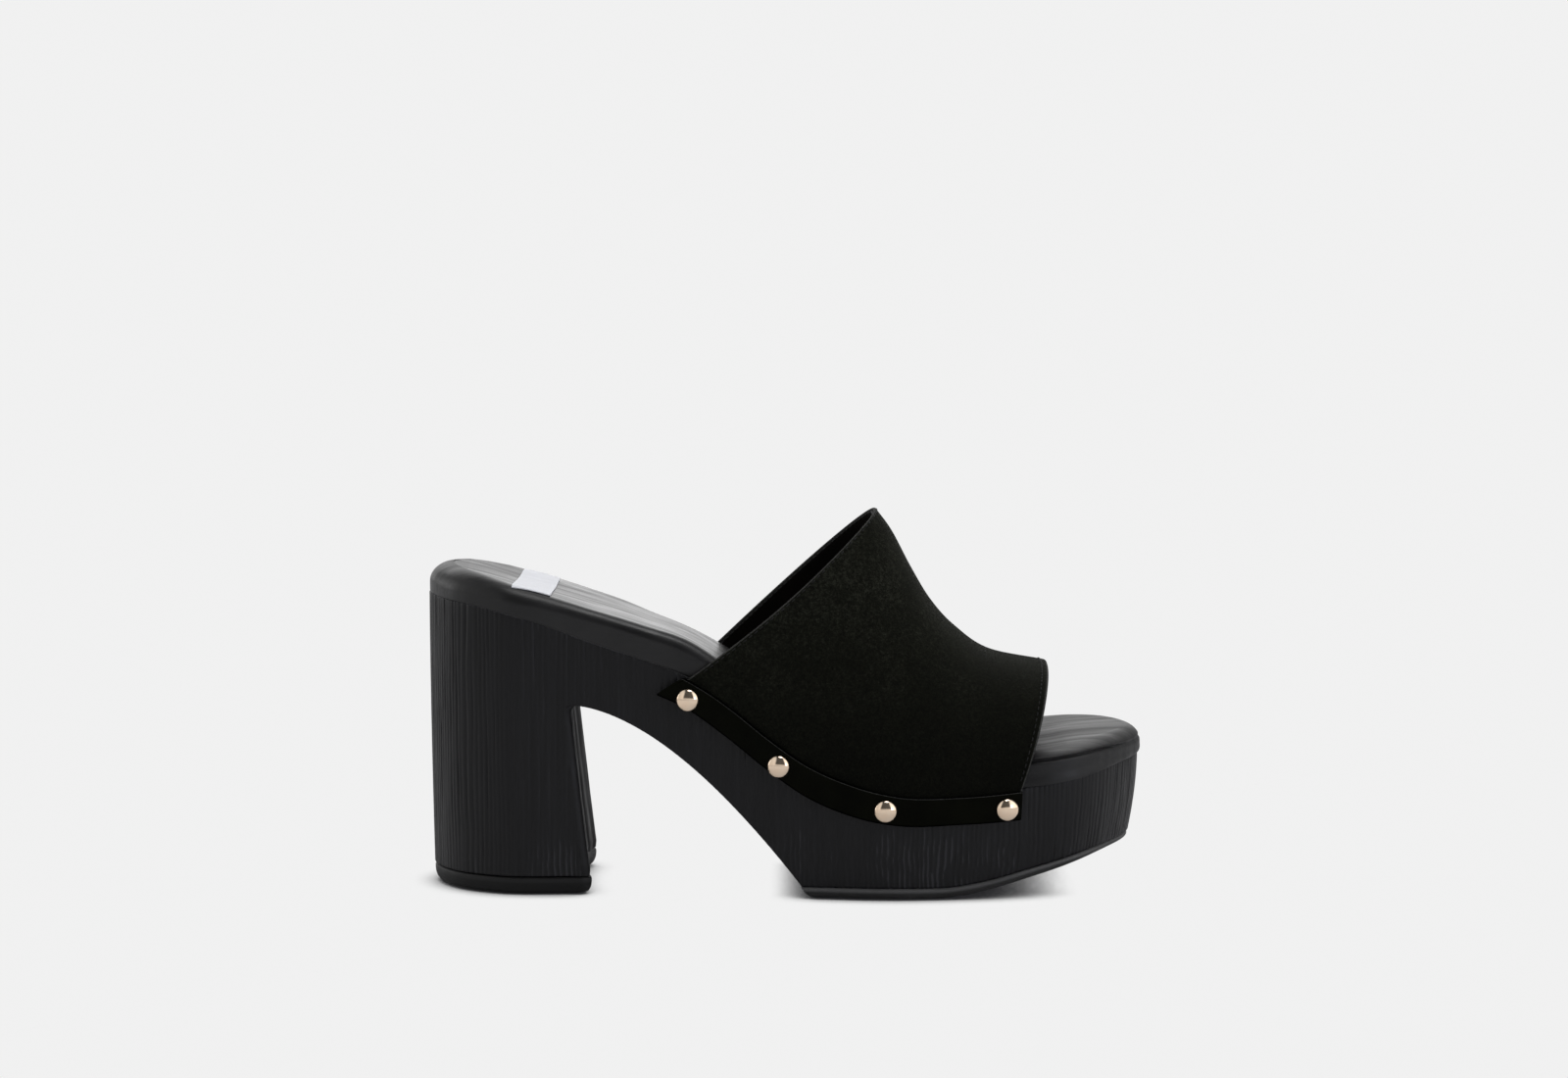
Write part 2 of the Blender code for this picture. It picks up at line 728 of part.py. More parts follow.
def make_strip(side, name):
    """Smooth strip laid over the vamp's hem, cut from the vamp's own function."""
    us = np.linspace(0.0, 1.0, UPPER_STEPS + 1)
    inner = VAMP_THICKNESS + GAP
    vs = np.linspace(JOINT_V, 1.0, HEM_STEPS + 1) * side
    return sheet(name, us, vs,
                 lambda u, v: upper_point(u, v, inner),
                 lambda u, v: upper_point(u, v, inner + STRIP_THICKNESS), "strip")


# ---------------------------------------------------------------- studs
def stud_profile():
    """Half profile of a dome-headed nail, from the crown of the head to the tip of the shank."""
    run = []
    for step in range(DOME_STEPS + 1):
        angle = math.pi / 2 * step / DOME_STEPS
        run.append((STUD_RADIUS * math.sin(angle),
                    STUD_RIM + (STUD_HEIGHT - STUD_RIM) * math.cos(angle)))
    run.append((STUD_RADIUS, 0.0))
    run.append((SHANK_RADIUS, 0.0))
    run.append((SHANK_RADIUS, SHANK_POINT - SHANK_DEPTH))
    run.append((0.0, -SHANK_DEPTH))
    return run


def stud_mesh():
    mesh = bpy.data.meshes.new("dome_nail")
    form = bmesh.new()
    run = [form.verts.new(Vector((radius, 0.0, height)) * MM) for radius, height in stud_profile()]
    edges = [form.edges.new(pair) for pair in zip(run, run[1:])]
    bmesh.ops.spin(form, geom=run + edges, cent=(0, 0, 0), axis=(0, 0, 1), dvec=(0, 0, 0),
                   angle=math.tau, steps=STUD_SEGMENTS, use_merge=True, use_duplicate=False)
    bmesh.ops.remove_doubles(form, verts=form.verts, dist=SAME_PLACE * MM)
    bmesh.ops.recalc_face_normals(form, faces=form.faces)
    form.to_mesh(mesh)
    form.free()
    mesh.shade_smooth()
    mesh.set_sharp_from_angle(angle=math.radians(SHARP_DEGREES))
    mesh.materials.append(material("stud"))
    return mesh


def stud_frame(side, nail):
    """Where a nail's head sits: on the strip, its axis along the strip's normal."""
    v = side * (JOINT_V + (1 - JOINT_V) * nail.down)
    us = np.linspace(0.0, 1.0, U_SEARCH)
    u = float(np.interp(nail.x, [inner_point(place, v)[0] for place in us], us))
    out = VAMP_THICKNESS + STRIP_THICKNESS + 2 * GAP
    place = Vector(upper_point(u, v, out)) * MM
    axis = Vector(upper_normal(u, v))
    return Matrix.Translation(place) @ axis.to_track_quat("Z", "Y").to_matrix().to_4x4()


def make_studs():
    mesh = stud_mesh()
    for side, word in ((LATERAL, "lateral"), (MEDIAL, "medial")):
        for number, nail in enumerate(NAILS, start=1):
            stud = bpy.data.objects.new(f"stud_{word}_{number}", mesh)
            bpy.context.collection.objects.link(stud)
            stud.parent = ROOT
            stud.matrix_local = stud_frame(side, nail)


def make_bore_cutter(side, name):
    """Clearance bores for the nails of one side, as one cutter for strip, vamp and platform."""
    mesh = bpy.data.meshes.new(name)
    form = bmesh.new()
    for nail in NAILS:
        middle = Matrix.Translation((0, 0, -SHANK_DEPTH / 2 * MM))
        bmesh.ops.create_cone(form, cap_ends=True, segments=BORE_SIDES,
                              radius1=(SHANK_RADIUS + SHANK_CLEARANCE) * MM,
                              radius2=(SHANK_RADIUS + SHANK_CLEARANCE) * MM,
                              depth=(SHANK_DEPTH + BORE_EXTRA) * MM,
                              matrix=stud_frame(side, nail) @ middle)
    form.to_mesh(mesh)
    form.free()
    cutter = bpy.data.objects.new(name, mesh)
    bpy.context.collection.objects.link(cutter)
    cutter.parent = ROOT
    as_cutter(cutter)
    return cutter


# ---------------------------------------------------------------- whole clog
def centre_on_floor():
    """Move the whole clog so that the origin lies under the middle of its box."""
    bpy.context.view_layer.update()
    graph = bpy.context.evaluated_depsgraph_get()
    corners = []
    for thing in bpy.data.objects:
        if thing.type != "MESH" or thing.hide_render:
            continue
        shown = thing.evaluated_get(graph)
        corners += [shown.matrix_world @ vertex.co for vertex in shown.data.vertices]
    lowest = [min(corner[axis] for corner in corners) for axis in range(3)]
    highest = [max(corner[axis] for corner in corners) for axis in range(3)]
    ROOT.location = (-(lowest[0] + highest[0]) / 2, -(lowest[1] + highest[1]) / 2, -lowest[2])


def main():
    platform = make_platform()
    make_heel_top_piece()
    make_outsole()
    make_footbed()
    make_label()
    vamp = make_vamp()
    for side, word in ((LATERAL, "lateral"), (MEDIAL, "medial")):
        strip = make_strip(side, f"side_strip_{word}")
        bores = make_bore_cutter(side, f"nail_bores_{word}")
        for thing in (platform, vamp, strip):
            cut(thing, bores)
    make_studs()
    centre_on_floor()


remove_everything()
ROOT = bpy.data.objects.new("clog", None)
bpy.context.collection.objects.link(ROOT)
main()
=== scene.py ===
"""Looks of the platform clog: fine meshes, stitching, materials, floor, light and camera.

Lengths are in millimetres and become metres where a mesh is made; textures and the studio are in
metres. The shape tables repeat the part's own, so each fine piece lies where its CAD solid lies.
"""
import math
from collections import namedtuple

import bmesh
import bpy
import numpy as np
from mathutils import Matrix, Vector, noise


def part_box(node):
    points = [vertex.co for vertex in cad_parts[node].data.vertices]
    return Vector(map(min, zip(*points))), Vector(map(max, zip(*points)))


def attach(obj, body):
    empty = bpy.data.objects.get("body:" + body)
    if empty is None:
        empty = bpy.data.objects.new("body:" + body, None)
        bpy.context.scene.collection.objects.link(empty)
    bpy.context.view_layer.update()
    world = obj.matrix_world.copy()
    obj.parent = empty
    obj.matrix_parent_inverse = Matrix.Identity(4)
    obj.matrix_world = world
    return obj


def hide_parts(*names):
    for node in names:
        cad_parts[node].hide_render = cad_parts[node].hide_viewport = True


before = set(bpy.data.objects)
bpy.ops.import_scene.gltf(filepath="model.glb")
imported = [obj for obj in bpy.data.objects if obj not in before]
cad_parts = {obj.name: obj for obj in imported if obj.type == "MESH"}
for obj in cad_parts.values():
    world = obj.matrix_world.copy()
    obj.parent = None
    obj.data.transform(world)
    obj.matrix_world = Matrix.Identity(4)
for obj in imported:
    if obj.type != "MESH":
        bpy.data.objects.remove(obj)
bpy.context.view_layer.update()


def table(fields, *rows):
    """Rows with named columns."""
    kind = namedtuple("Row", fields)
    return tuple(kind(*row) for row in rows)


# ---- the part's sizes, millimetres
MM = 0.001
GAP = 0.3
LATERAL = -1
MEDIAL = 1
SIDES = ((LATERAL, "lateral"), (MEDIAL, "medial"))

OUTSOLE_THICKNESS = 4.0
TOE_SPRING = 15.0
OUTSOLE_THICKER = 0.12
SEAM_SINKS = 0.185
TIP_DRAWN_IN = 1.1
TIP_DRAWN_X = (98.0, 116.0)
SPRING_FROM_X = 52.0
SPRING_POWER = 1.7
WALL_INSET = (1.1, 3.0)
INSET_X = (-40.0, 20.0)
WALL_POWER = 1.8

BREAST_TOP_X = -70.7
BREAST_FOOT_X = -63.3
BREAST_POWER = 0.85
BREAST_CORNER = 3.2
BREAST_HOLLOW = 3.6
BREAST_FILLET = 3.0
ARCH_TOP = 64.4
ARCH_LENGTH = 75.6
ARCH_DROP = 59.6
ARCH_POWER = 1.68
UNDER_ARCH_X = -37.5

HEEL_BASE = 6.3
TOP_PIECE_PROUD = -0.2
TOP_PIECE_SET_BACK = -0.2

FOOTBED_OVERHANG_HEEL = -0.2
FOOTBED_OVERHANG_TOE = 1.0
FOOTBED_UNDER_VAMP = -1.0
COVERED_FROM_X = (-44.0, -31.0)
COVERED_TO_X = (77.0, 90.0)
BULGE_SHARE = 0.24
ROLL_SHARE = 0.66

VAMP_THICKNESS = 1.8
STRIP_THICKNESS = 1.2
JOINT_V = 0.86

STUD_RADIUS = 3.8
STUD_HEIGHT = 2.4
STUD_RIM = 0.5

LABEL_FROM_X = -90.0
LABEL_TO_X = -77.2
LABEL_FROM_Y = -24.8
LABEL_TO_Y = 22.0
LABEL_SKEW = 0.02

OUTLINE = table(
    "place x y",
    ("heel back", -119.6, 0.5),
    ("heel back, lateral", -111.5, -18.0),
    ("heel, lateral", -95.0, -28.0),
    ("seat, lateral", -70.0, -29.0),
    ("waist, lateral", -40.0, -30.5),
    ("shank, lateral", -12.0, -33.8),
    ("joint, lateral", 12.0, -37.6),
    ("ball, lateral", 34.0, -40.0),
    ("little toe", 58.0, -38.4),
    ("toes, lateral", 80.0, -35.4),
    ("toe corner, lateral", 98.0, -30.6),
    ("beside the tip, lateral", 112.0, -15.5),
    ("tip", 120.0, 6.5),
    ("beside the tip, medial", 112.5, 28.0),
    ("toe corner, medial", 99.0, 39.0),
    ("big toe", 76.0, 43.0),
    ("ball, medial", 48.0, 41.0),
    ("shank, medial", 16.0, 34.5),
    ("waist, medial", -16.0, 28.8),
    ("seat, medial", -55.0, 27.5),
    ("heel, medial", -95.0, 28.5),
    ("heel back, medial", -111.5, 19.0),
)

SEAT = table(
    "x z",
    (-119.0, 99.0), (-104.0, 97.5), (-85.0, 93.1), (-65.0, 86.0), (-48.0, 80.3), (-32.0, 74.4),
    (-18.0, 65.3), (-5.0, 55.2), (8.0, 46.4), (22.0, 40.4), (38.0, 36.4), (58.0, 36.0),
    (80.0, 37.7), (98.0, 40.35), (108.0, 42.3), (120.0, 43.2),
)

FOOTBED = table(
    "x lateral medial roll",
    (-119.0, 10.0, 10.0, 8.0),
    (-95.0, 9.4, 8.6, 6.0),
    (-60.0, 10.8, 10.0, 4.0),
    (-34.0, 11.4, 8.4, 4.0),
    (-12.0, 11.4, 10.0, 4.0),
    (30.0, 11.0, 11.0, 4.0),
    (85.0, 10.8, 11.0, 4.5),
    (98.0, 10.35, 10.4, 4.7),
    (108.0, 9.4, 9.4, 4.8),
    (121.0, 9.2, 9.2, 5.0),
)

SECTIONS = table(
    "hem_x hem_drop joint_x medial_forward "
    "ridge_x ridge_y ridge_z flank crown lateral_bow medial_bow",
    (-40.8, 9.6, -31.5, 3.6, 29.3, 0.0, 125.9, 2.3, 2.6, -2.0, 0.25),
    (-18.5, 10.8, -12.0, 2.2, 34.8, 0.4, 118.3, 2.3, 2.5, -1.5, 0.1),
    (3.0, 10.9, 8.0, 1.0, 41.4, 1.0, 105.7, 2.3, 2.4, -0.8, 0.0),
    (23.5, 10.6, 26.0, 0.0, 48.1, 1.8, 94.5, 2.4, 2.3, 0.0, 0.0),
    (41.0, 9.8, 42.0, 0.0, 56.4, 2.8, 85.1, 2.5, 2.3, 0.0, 0.0),
    (58.0, 9.4, 58.4, 0.0, 68.8, 3.8, 76.4, 2.6, 2.3, -0.2, -0.2),
    (78.2, 9.7, 78.6, 0.0, 88.9, 4.5, 71.9, 2.7, 2.4, -0.6, -0.6),
)

HEEL_LEVELS = table(
    "z drawn_in",
    (0.0, 3.3), (0.4, 2.0), (1.2, 1.0), (2.5, 0.3), (4.0, 0.0), (5.6, 0.0), (HEEL_BASE, 0.7),
)

OUTSOLE_LEVELS = table(
    "height inset rear_x",
    (0.0, 6.0, 9.7), (0.4, 4.4, 8.7), (1.2, 3.1, 7.6), (2.1, 2.4, 6.7), (3.0, 2.3, 6.0),
    (3.6, 2.7, 5.5), (4.0, 3.5, 5.2),
)

NAILS = table("x down", (-31.6, 0.68), (-1.2, 0.60), (33.7, 0.54), (73.4, 0.56))

# ---- fine detail, millimetres
OUTLINE_STEPS = 6000
COLUMN_WIDTH = 0.29
SEAM = 0.1
HEEL_TOP = HEEL_BASE + SEAM
SEAT_EDGE = 0.3
ARCH_EDGE = 0.5
FOOT_EDGE = 0.45
EDGE_PARTS = np.array((0.0, 0.06, 0.2, 0.5, 1.0))
FILLET_Z = ARCH_TOP - BREAST_FILLET
WALL_ROWS = 15
HEEL_ROWS = 20
BREAST_HALF_WIDTH = 28.0
BREAST_COLUMNS = 150
CORNER_COLUMNS = 7
FINE_ARCH_ROWS = 16
ARCH_STRIDE = 5

GRAIN_PITCH = 1.75
GRAIN_DEPTH = 0.29
SCUFFED_X = ((48.0, 20.0), (-72.0, 16.0))    # middle and reach of each scuffed stretch
BREAST_PITCH = 5.2
BREAST_DEPTH = 0.8

LEVEL_ROWS = 25
HEEL_RING_COLUMNS = 300
# The groove's profile underneath the heel's top piece: how far in from its edge, and how deep.
TREAD_GROOVE = ((7.6, 0.0), (7.3, 0.7), (6.6, 0.9), (5.9, 0.7), (5.6, 0.0))
TREAD_GROOVES_APART = 5.0
OUTSOLE_COLUMNS = 220
RIB_PITCH = 5.2
RIB_DEPTH = 0.8

FOOTBED_COLUMNS = 300
DISHES = table(
    "deep x long y wide",
    (0.55, -88.0, 22.0, 0.0, 15.0),
    (0.5, 52.0, 26.0, 3.0, 22.0),
)
COVER_TUCK = (0.08, 1.2)
TUCK_X = (104.0, 118.0)
COVER_CLEAR = 0.06
LIP_FROM_X = (68.0, 80.0)
LIP_TO_TIP_X = (97.0, 120.0)
LIP_WIDTH = (9.0, 6.0)
LIP_HEIGHT = (2.3, 5.6)
CREASE_DEPTH = (1.45, 0.5)
CREASE_DEPTH_X = (106.0, 119.0)
CREASE_WIDTH = 0.055
CREASE_DOWN = (2.4, 3.7)
CREASE_DOWN_X = (100.0, 120.0)

LABEL_THICKNESS = 0.35
LABEL_CLEAR = 0.12
LABEL_SLANT = (0.4, 1.1)
LABEL_CORNER_DOWN = 0.8

SUEDE_INSIDE = 0.75
SUEDE_HEM = 0.985
LINING_INSIDE = 0.05
LINING_OUTSIDE = 0.62
LINING_SET_BACK = 1.0

STRIP_WIDTH = 10.2
STRIP_CROWN = 0.12
STRIP_COLUMNS = 240
STRIP_END = 0.006
DIMPLE_DEPTH = 0.18
DIMPLE_RADIUS = 4.6
TAB_REACH = (1.5, 0.5)
TAB_LENGTH = 0.09

STITCH_PITCH = 2.3
STITCH_LENGTH = 1.75
STITCH_RADIUS = 0.2
COLLAR_STITCH_IN = 1.15
MOUTH_STITCH_IN = 1.6
STITCHED_TO_V = 0.84

# ---- studio, metres and light levels
FLOOR_REACH = 40.0
FLOOR_BELOW = 0.00005
FLOOR_BOUNCE = (0.74, 0.74, 0.75)
SHADOW_REACH = 0.0115
PALE = (0.877, 0.877, 0.877)
CONTACT_SHADOW = ((0.22, (0.02, 0.02, 0.022)), (0.86, PALE))

AROUND_THE_BACK = (
    (0.0, (0.6, 0.6, 0.6)),
    (0.43, (0.5, 0.5, 0.5)),
    (0.478, (0.10, 0.10, 0.10)),
    (0.490, (0.22, 0.22, 0.22)),
    (0.506, (0.98, 0.98, 0.98)),
    (0.60, (0.85, 0.85, 0.85)),
    (0.72, (0.06, 0.06, 0.06)),
    (1.0, (0.1, 0.1, 0.1)),
)

# Each part of the surroundings is a product of ramps over the direction looked in: X to the toe,
# Y away from the camera, Z up, "sideways" to either side, "splayed" the same but wider high up.
RAMP = "axis start end from_level to_level"
BEHIND = table(
    RAMP,
    ("Y", -0.3, 0.9, 0.0, 3.2),
    ("Z", 0.1, 0.3, 1.0, 0.3),
)
AHEAD = table(
    RAMP,
    ("Y", -0.3, 0.9, 0.82, 0.0),
    ("X", -1.0, 1.0, 0.6, 1.4),
    ("sideways", 0.35, 0.6, 1.0, 1.45),
)
DARK_CORNER = table(
    RAMP,
    ("X", 0.4, 0.6, 0.0, 0.8),
    ("Y", 0.0, 0.25, 0.0, 1.0),
    ("Z", 0.2, 0.4, 0.0, 1.0),
)
REAR_GLOW = table(
    RAMP,
    ("X", 0.22, 0.05, 0.0, 1.7),
    ("X", -0.45, -0.6, 1.0, 0.0),
    ("Y", 0.2, 0.55, 0.0, 1.0),
    ("Z", 0.65, 0.85, 1.0, 0.0),
    ("Z", 0.2, 0.35, 0.0, 1.0),
)
OVERHEAD = table(RAMP, ("Z", 0.45, 1.0, 1.0, 0.95))
DARK_GAP = table(
    RAMP,
    ("splayed", 0.44, 0.54, 1.0, 0.0),
    ("Z", 0.05, 0.12, 0.0, 1.0),
    ("Y", 0.15, 0.4, 0.88, 0.0),
)
GAP_SPLAY = (-0.06, 0.14)

WHITE = (1.0, 1.0, 1.0)
SOFTBOXES = table(
    "name location target width height power colour",
    ("back_softbox", (0.55, 1.2, 0.75), (0.0, 0.0, 0.08), 1.2, 0.6, 2.0, WHITE),
    ("top_softbox", (0.25, -0.15, 1.6), (0.0, 0.0, 0.08), 0.8, 0.6, 7.0, WHITE),
    ("left_softbox", (-1.5, 0.3, 0.4), (0.0, 0.0, 0.07), 0.7, 0.9, 2.6, WHITE),
    ("right_fill", (1.3, -1.5, 0.35), (0.05, 0.0, 0.03), 0.6, 0.5, 2.2, (0.62, 0.70, 1.0)),
)

CAMERA_PLACE = (-0.0007, -1.7014, 0.345)
CAMERA_TARGET = (-0.0007, -0.0014, 0.1165)
CAMERA_LENS = 116.9
CAMERA_SENSOR = 36.0


# ---- curves through tables
def slopes(places, values):
    """Slope at each row, weighted by the spacing on both sides."""
    steps = np.diff(places)
    rates = np.diff(values) / steps
    inner = (rates[:-1] * steps[1:] + rates[1:] * steps[:-1]) / (steps[:-1] + steps[1:])
    return np.concatenate([rates[:1], inner, rates[-1:]])


def through(places, values, place):
    """Smooth curve through the rows of a table (cubic Hermite), level beyond its ends."""
    places = np.asarray(places, float)
    values = np.asarray(values, float)
    place = np.clip(place, places[0], places[-1])
    row = np.clip(np.searchsorted(places, place) - 1, 0, len(places) - 2)
    rate = slopes(places, values)
    step = places[row + 1] - places[row]
    part = (place - places[row]) / step
    start = (1 + 2 * part) * (1 - part) ** 2 * values[row] + part * (1 - part) ** 2 * step * rate[row]
    end = part ** 2 * (3 - 2 * part) * values[row + 1] - part ** 2 * (1 - part) * step * rate[row + 1]
    return start + end


def column(table, name):
    return [getattr(row, name) for row in table]


def rows_at(table, share):
    """The table's columns, smooth from row to row, at shares (0 to 1) of the way down it."""
    kind = type(table[0])
    rows = np.linspace(0.0, 1.0, len(table))
    return kind(*(through(rows, column(table, name), share) for name in kind._fields))


def blend(first, last, share):
    """From the first value to the last as the share goes from 0 to 1."""
    return first + (last - first) * share


def lengths_along(points):
    """Length of a run of points up to each of them."""
    return np.concatenate([[0.0], np.cumsum(np.linalg.norm(np.diff(points, axis=0), axis=1))])


def run_at(place, lengths, run):
    """Straight interpolation between a run's rows, at lengths along it."""
    return np.stack([np.interp(place, lengths, axis) for axis in run.T], axis=-1)


def smoothstep(low, high, value):
    part = np.clip((value - low) / (high - low), 0.0, 1.0)
    return part * part * (3 - 2 * part)


def wander(seed, *coordinates):
    """Smooth noise, about -1 to 1, at arrays of two or three coordinates."""
    spread = np.broadcast_arrays(*coordinates, 0.0)
    flat = np.stack([axis.ravel() for axis in spread[:3]], axis=1)
    values = [noise.noise(Vector((first, second, third + seed))) for first, second, third in flat]
    return np.array(values).reshape(spread[0].shape)


# ---- the sole's outline
def dense_outline():
    """The outline as a dense closed curve from the heel's back: its points and outward normals."""
    points = np.array([(row.x, row.y) for row in OUTLINE])
    wrapped = np.vstack([points[-3:], points, points[:4]])
    along = lengths_along(wrapped)
    dense = np.linspace(along[3], along[3 + len(points)], OUTLINE_STEPS, endpoint=False)
    curve = np.stack([through(along, wrapped[:, 0], dense), through(along, wrapped[:, 1], dense)], axis=1)
    curve = np.roll(curve, -int(np.argmin(curve[:, 0])), axis=0)
    tangent = np.roll(curve, -1, axis=0) - np.roll(curve, 1, axis=0)
    tangent = tangent / np.linalg.norm(tangent, axis=1)[:, None]
    normal = np.stack([tangent[:, 1], -tangent[:, 0]], axis=1)
    return np.vstack([curve, curve[:1]]), np.vstack([normal, normal[:1]])


CURVE, NORMAL = dense_outline()
ALONG = lengths_along(CURVE)
LENGTH = float(ALONG[-1])
TIP = int(np.argmax(CURVE[:, 0]))
BACK_X = float(CURVE[0, 0])
TIP_X = float(CURVE[TIP, 0])


def outline_at(place):
    """Plan points and outward normals at lengths along the outline."""
    place = np.mod(place, LENGTH)
    return run_at(place, ALONG, CURVE), run_at(place, ALONG, NORMAL)


def place_at(side, x):
    """Length along the outline at x on one side."""
    if side == LATERAL:
        return np.interp(x, CURVE[:TIP + 1, 0], ALONG[:TIP + 1])
    return np.interp(-np.asarray(x), -CURVE[TIP:, 0], ALONG[TIP:])


def seat_z(x):
    return through(column(SEAT, "x"), column(SEAT, "z"), x)


def spring_z(x):
    part = np.clip((x - SPRING_FROM_X) / (TIP_X - SPRING_FROM_X), 0.0, 1.0)
    return TOE_SPRING * np.sin(part * math.pi / 2) ** SPRING_POWER


def arch_z(x):
    part = np.maximum(x - BREAST_TOP_X, 0.0) / ARCH_LENGTH
    return ARCH_TOP - ARCH_DROP * part ** ARCH_POWER


def base_z(x):
    over_outsole = OUTSOLE_THICKNESS + SEAM + spring_z(x) * (1 - SEAM_SINKS)
    return np.where(np.asarray(x) < UNDER_ARCH_X, HEEL_TOP, over_outsole)


def wall_inset(x, part):
    return blend(*WALL_INSET, smoothstep(*INSET_X, x)) * np.maximum(part, 0.0) ** WALL_POWER


def wall(place, drop, out):
    """Points on the platform's side wall, `drop` under its top, moved outwards."""
    plan, normal = outline_at(place)
    x = plan[..., 0]
    part = drop / (seat_z(x) - base_z(x))
    plan = plan + normal * (out - wall_inset(x, part))[..., None]
    return np.stack([plan[..., 0], plan[..., 1], seat_z(x) - drop], axis=-1)


def breast_x(z):
    """The breast of the heel leans forwards towards its foot."""
    return blend(BREAST_FOOT_X, BREAST_TOP_X, (np.maximum(z, 0.0) / ARCH_TOP) ** BREAST_POWER)


# The breast leaves the wall at SPLIT_X, its fillet ends at FILLET_END_X, the arch is clear of it
# from ARCH_FROM_X.
SPLIT_X = breast_x(FILLET_Z) - BREAST_CORNER
FILLET_END_X = SPLIT_X + BREAST_FILLET
ARCH_FROM_X = BREAST_TOP_X + BREAST_FILLET


# ---- where the tables lie in the frame
def frame_offset():
    """The tables' origin in the frame, from the boxes of the CAD nodes."""
    platform_low = Vector(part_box("platform")[0]) / MM
    rubber_low = Vector(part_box("heel_top_piece")[0]) / MM
    return Vector((platform_low.x - BACK_X, platform_low.y - float(CURVE[:, 1].min()), rubber_low.z))


OFFSET = frame_offset()


# ---- meshes
def add_object(name, data):
    made = bpy.data.objects.new(name, data)
    bpy.context.collection.objects.link(made)
    return made


def close_form(form, mesh, materials, weld, sharp):
    """Welds the form, turns its faces outwards and makes it the mesh, smooth but for sharp angles."""
    bmesh.ops.remove_doubles(form, verts=form.verts, dist=weld * MM)
    bmesh.ops.recalc_face_normals(form, faces=form.faces)
    form.to_mesh(mesh)
    form.free()
    mesh.shade_smooth()
    mesh.set_sharp_from_angle(angle=math.radians(sharp))
    for look in materials:
        mesh.materials.append(look)


class Body:
    """Points and faces gathered from grids and polygons, then welded into one mesh."""

    def __init__(self):
        self.points = []
        self.faces = []
        self.looks = []
        self.wear_and_highlight = []
        self.count = 0

    def take(self, points, faces, look=0, wear_and_highlight=0.0):
        self.points.append(points.reshape(-1, 3))
        self.wear_and_highlight.append(np.broadcast_to(np.ravel(wear_and_highlight), len(self.points[-1])))
        self.faces += faces
        self.looks += [look] * len(faces)
        self.count += len(self.points[-1])

    def grid(self, points, wrap=False, look=0, wear_and_highlight=0.0):
        """Quads over a grid of points (rows, columns, 3); each point's mark holds its scuffing or its
        painted highlight.
        """
        rows, columns = points.shape[:2]
        number = self.count + np.arange(rows * columns).reshape(rows, columns)
        if wrap:
            number = np.hstack([number, number[:, :1]])
        quads = np.stack([number[:-1, :-1], number[:-1, 1:], number[1:, 1:], number[1:, :-1]], axis=-1)
        self.take(points, quads.reshape(-1, 4).tolist(), look, wear_and_highlight)

    def polygon(self, points):
        self.take(points, [list(range(self.count, self.count + len(points)))])

    def cap(self, loops):
        """Closes the first and the last of a row of closed loops."""
        self.polygon(loops[0])
        self.polygon(loops[-1])

    def tube(self, loops, wear_and_highlight=0.0):
        """A row of closed loops, skinned and capped."""
        self.grid(loops, wrap=True, wear_and_highlight=wear_and_highlight)
        self.cap(loops)

    def ladder(self, run):
        """Closes a run of points against itself, first to last, second to last but one."""
        half = len(run) // 2
        self.grid(np.stack([run[:half], run[::-1][:half]]))

    def make(self, name, materials, sharp=40.0):
        """One welded mesh object with its faces pointing out."""
        mesh = bpy.data.meshes.new(name)
        points = (np.vstack(self.points) + np.array(OFFSET)) * MM
        mesh.from_pydata(points.tolist(), [], self.faces)
        mesh.polygons.foreach_set("material_index", self.looks)
        # The mark, a point attribute, carries scuffing and painted highlights into the materials.
        if np.any(np.concatenate(self.wear_and_highlight)):
            marks = mesh.attributes.new("wear_and_highlight", "FLOAT", "POINT")
            marks.data.foreach_set("value", np.concatenate(self.wear_and_highlight))
        form = bmesh.new()
        form.from_mesh(mesh)
        close_form(form, mesh, materials, 0.004, sharp)
        return add_object(name, mesh)


def settle(piece, slot, *nodes):
    """The piece rides on the one body and stands for its CAD nodes; its slot is not used."""
    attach(piece, "root")
    if nodes:
        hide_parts(*nodes)
    return piece


def rounded(distance, radius):
    """How far an edge of that radius has drawn in at a distance from its corner."""
    radius = np.maximum(radius, 1e-6)
    part = np.clip(1 - distance / radius, 0.0, 1.0)
    return radius * (1 - np.sqrt(1 - part ** 2))


def columns_between(start, end):
    """An even number of places strictly between two lengths along the outline."""
    count = int((end - start) / COLUMN_WIDTH)
    return np.linspace(start, end, count + count % 2 + 2)[1:-1]


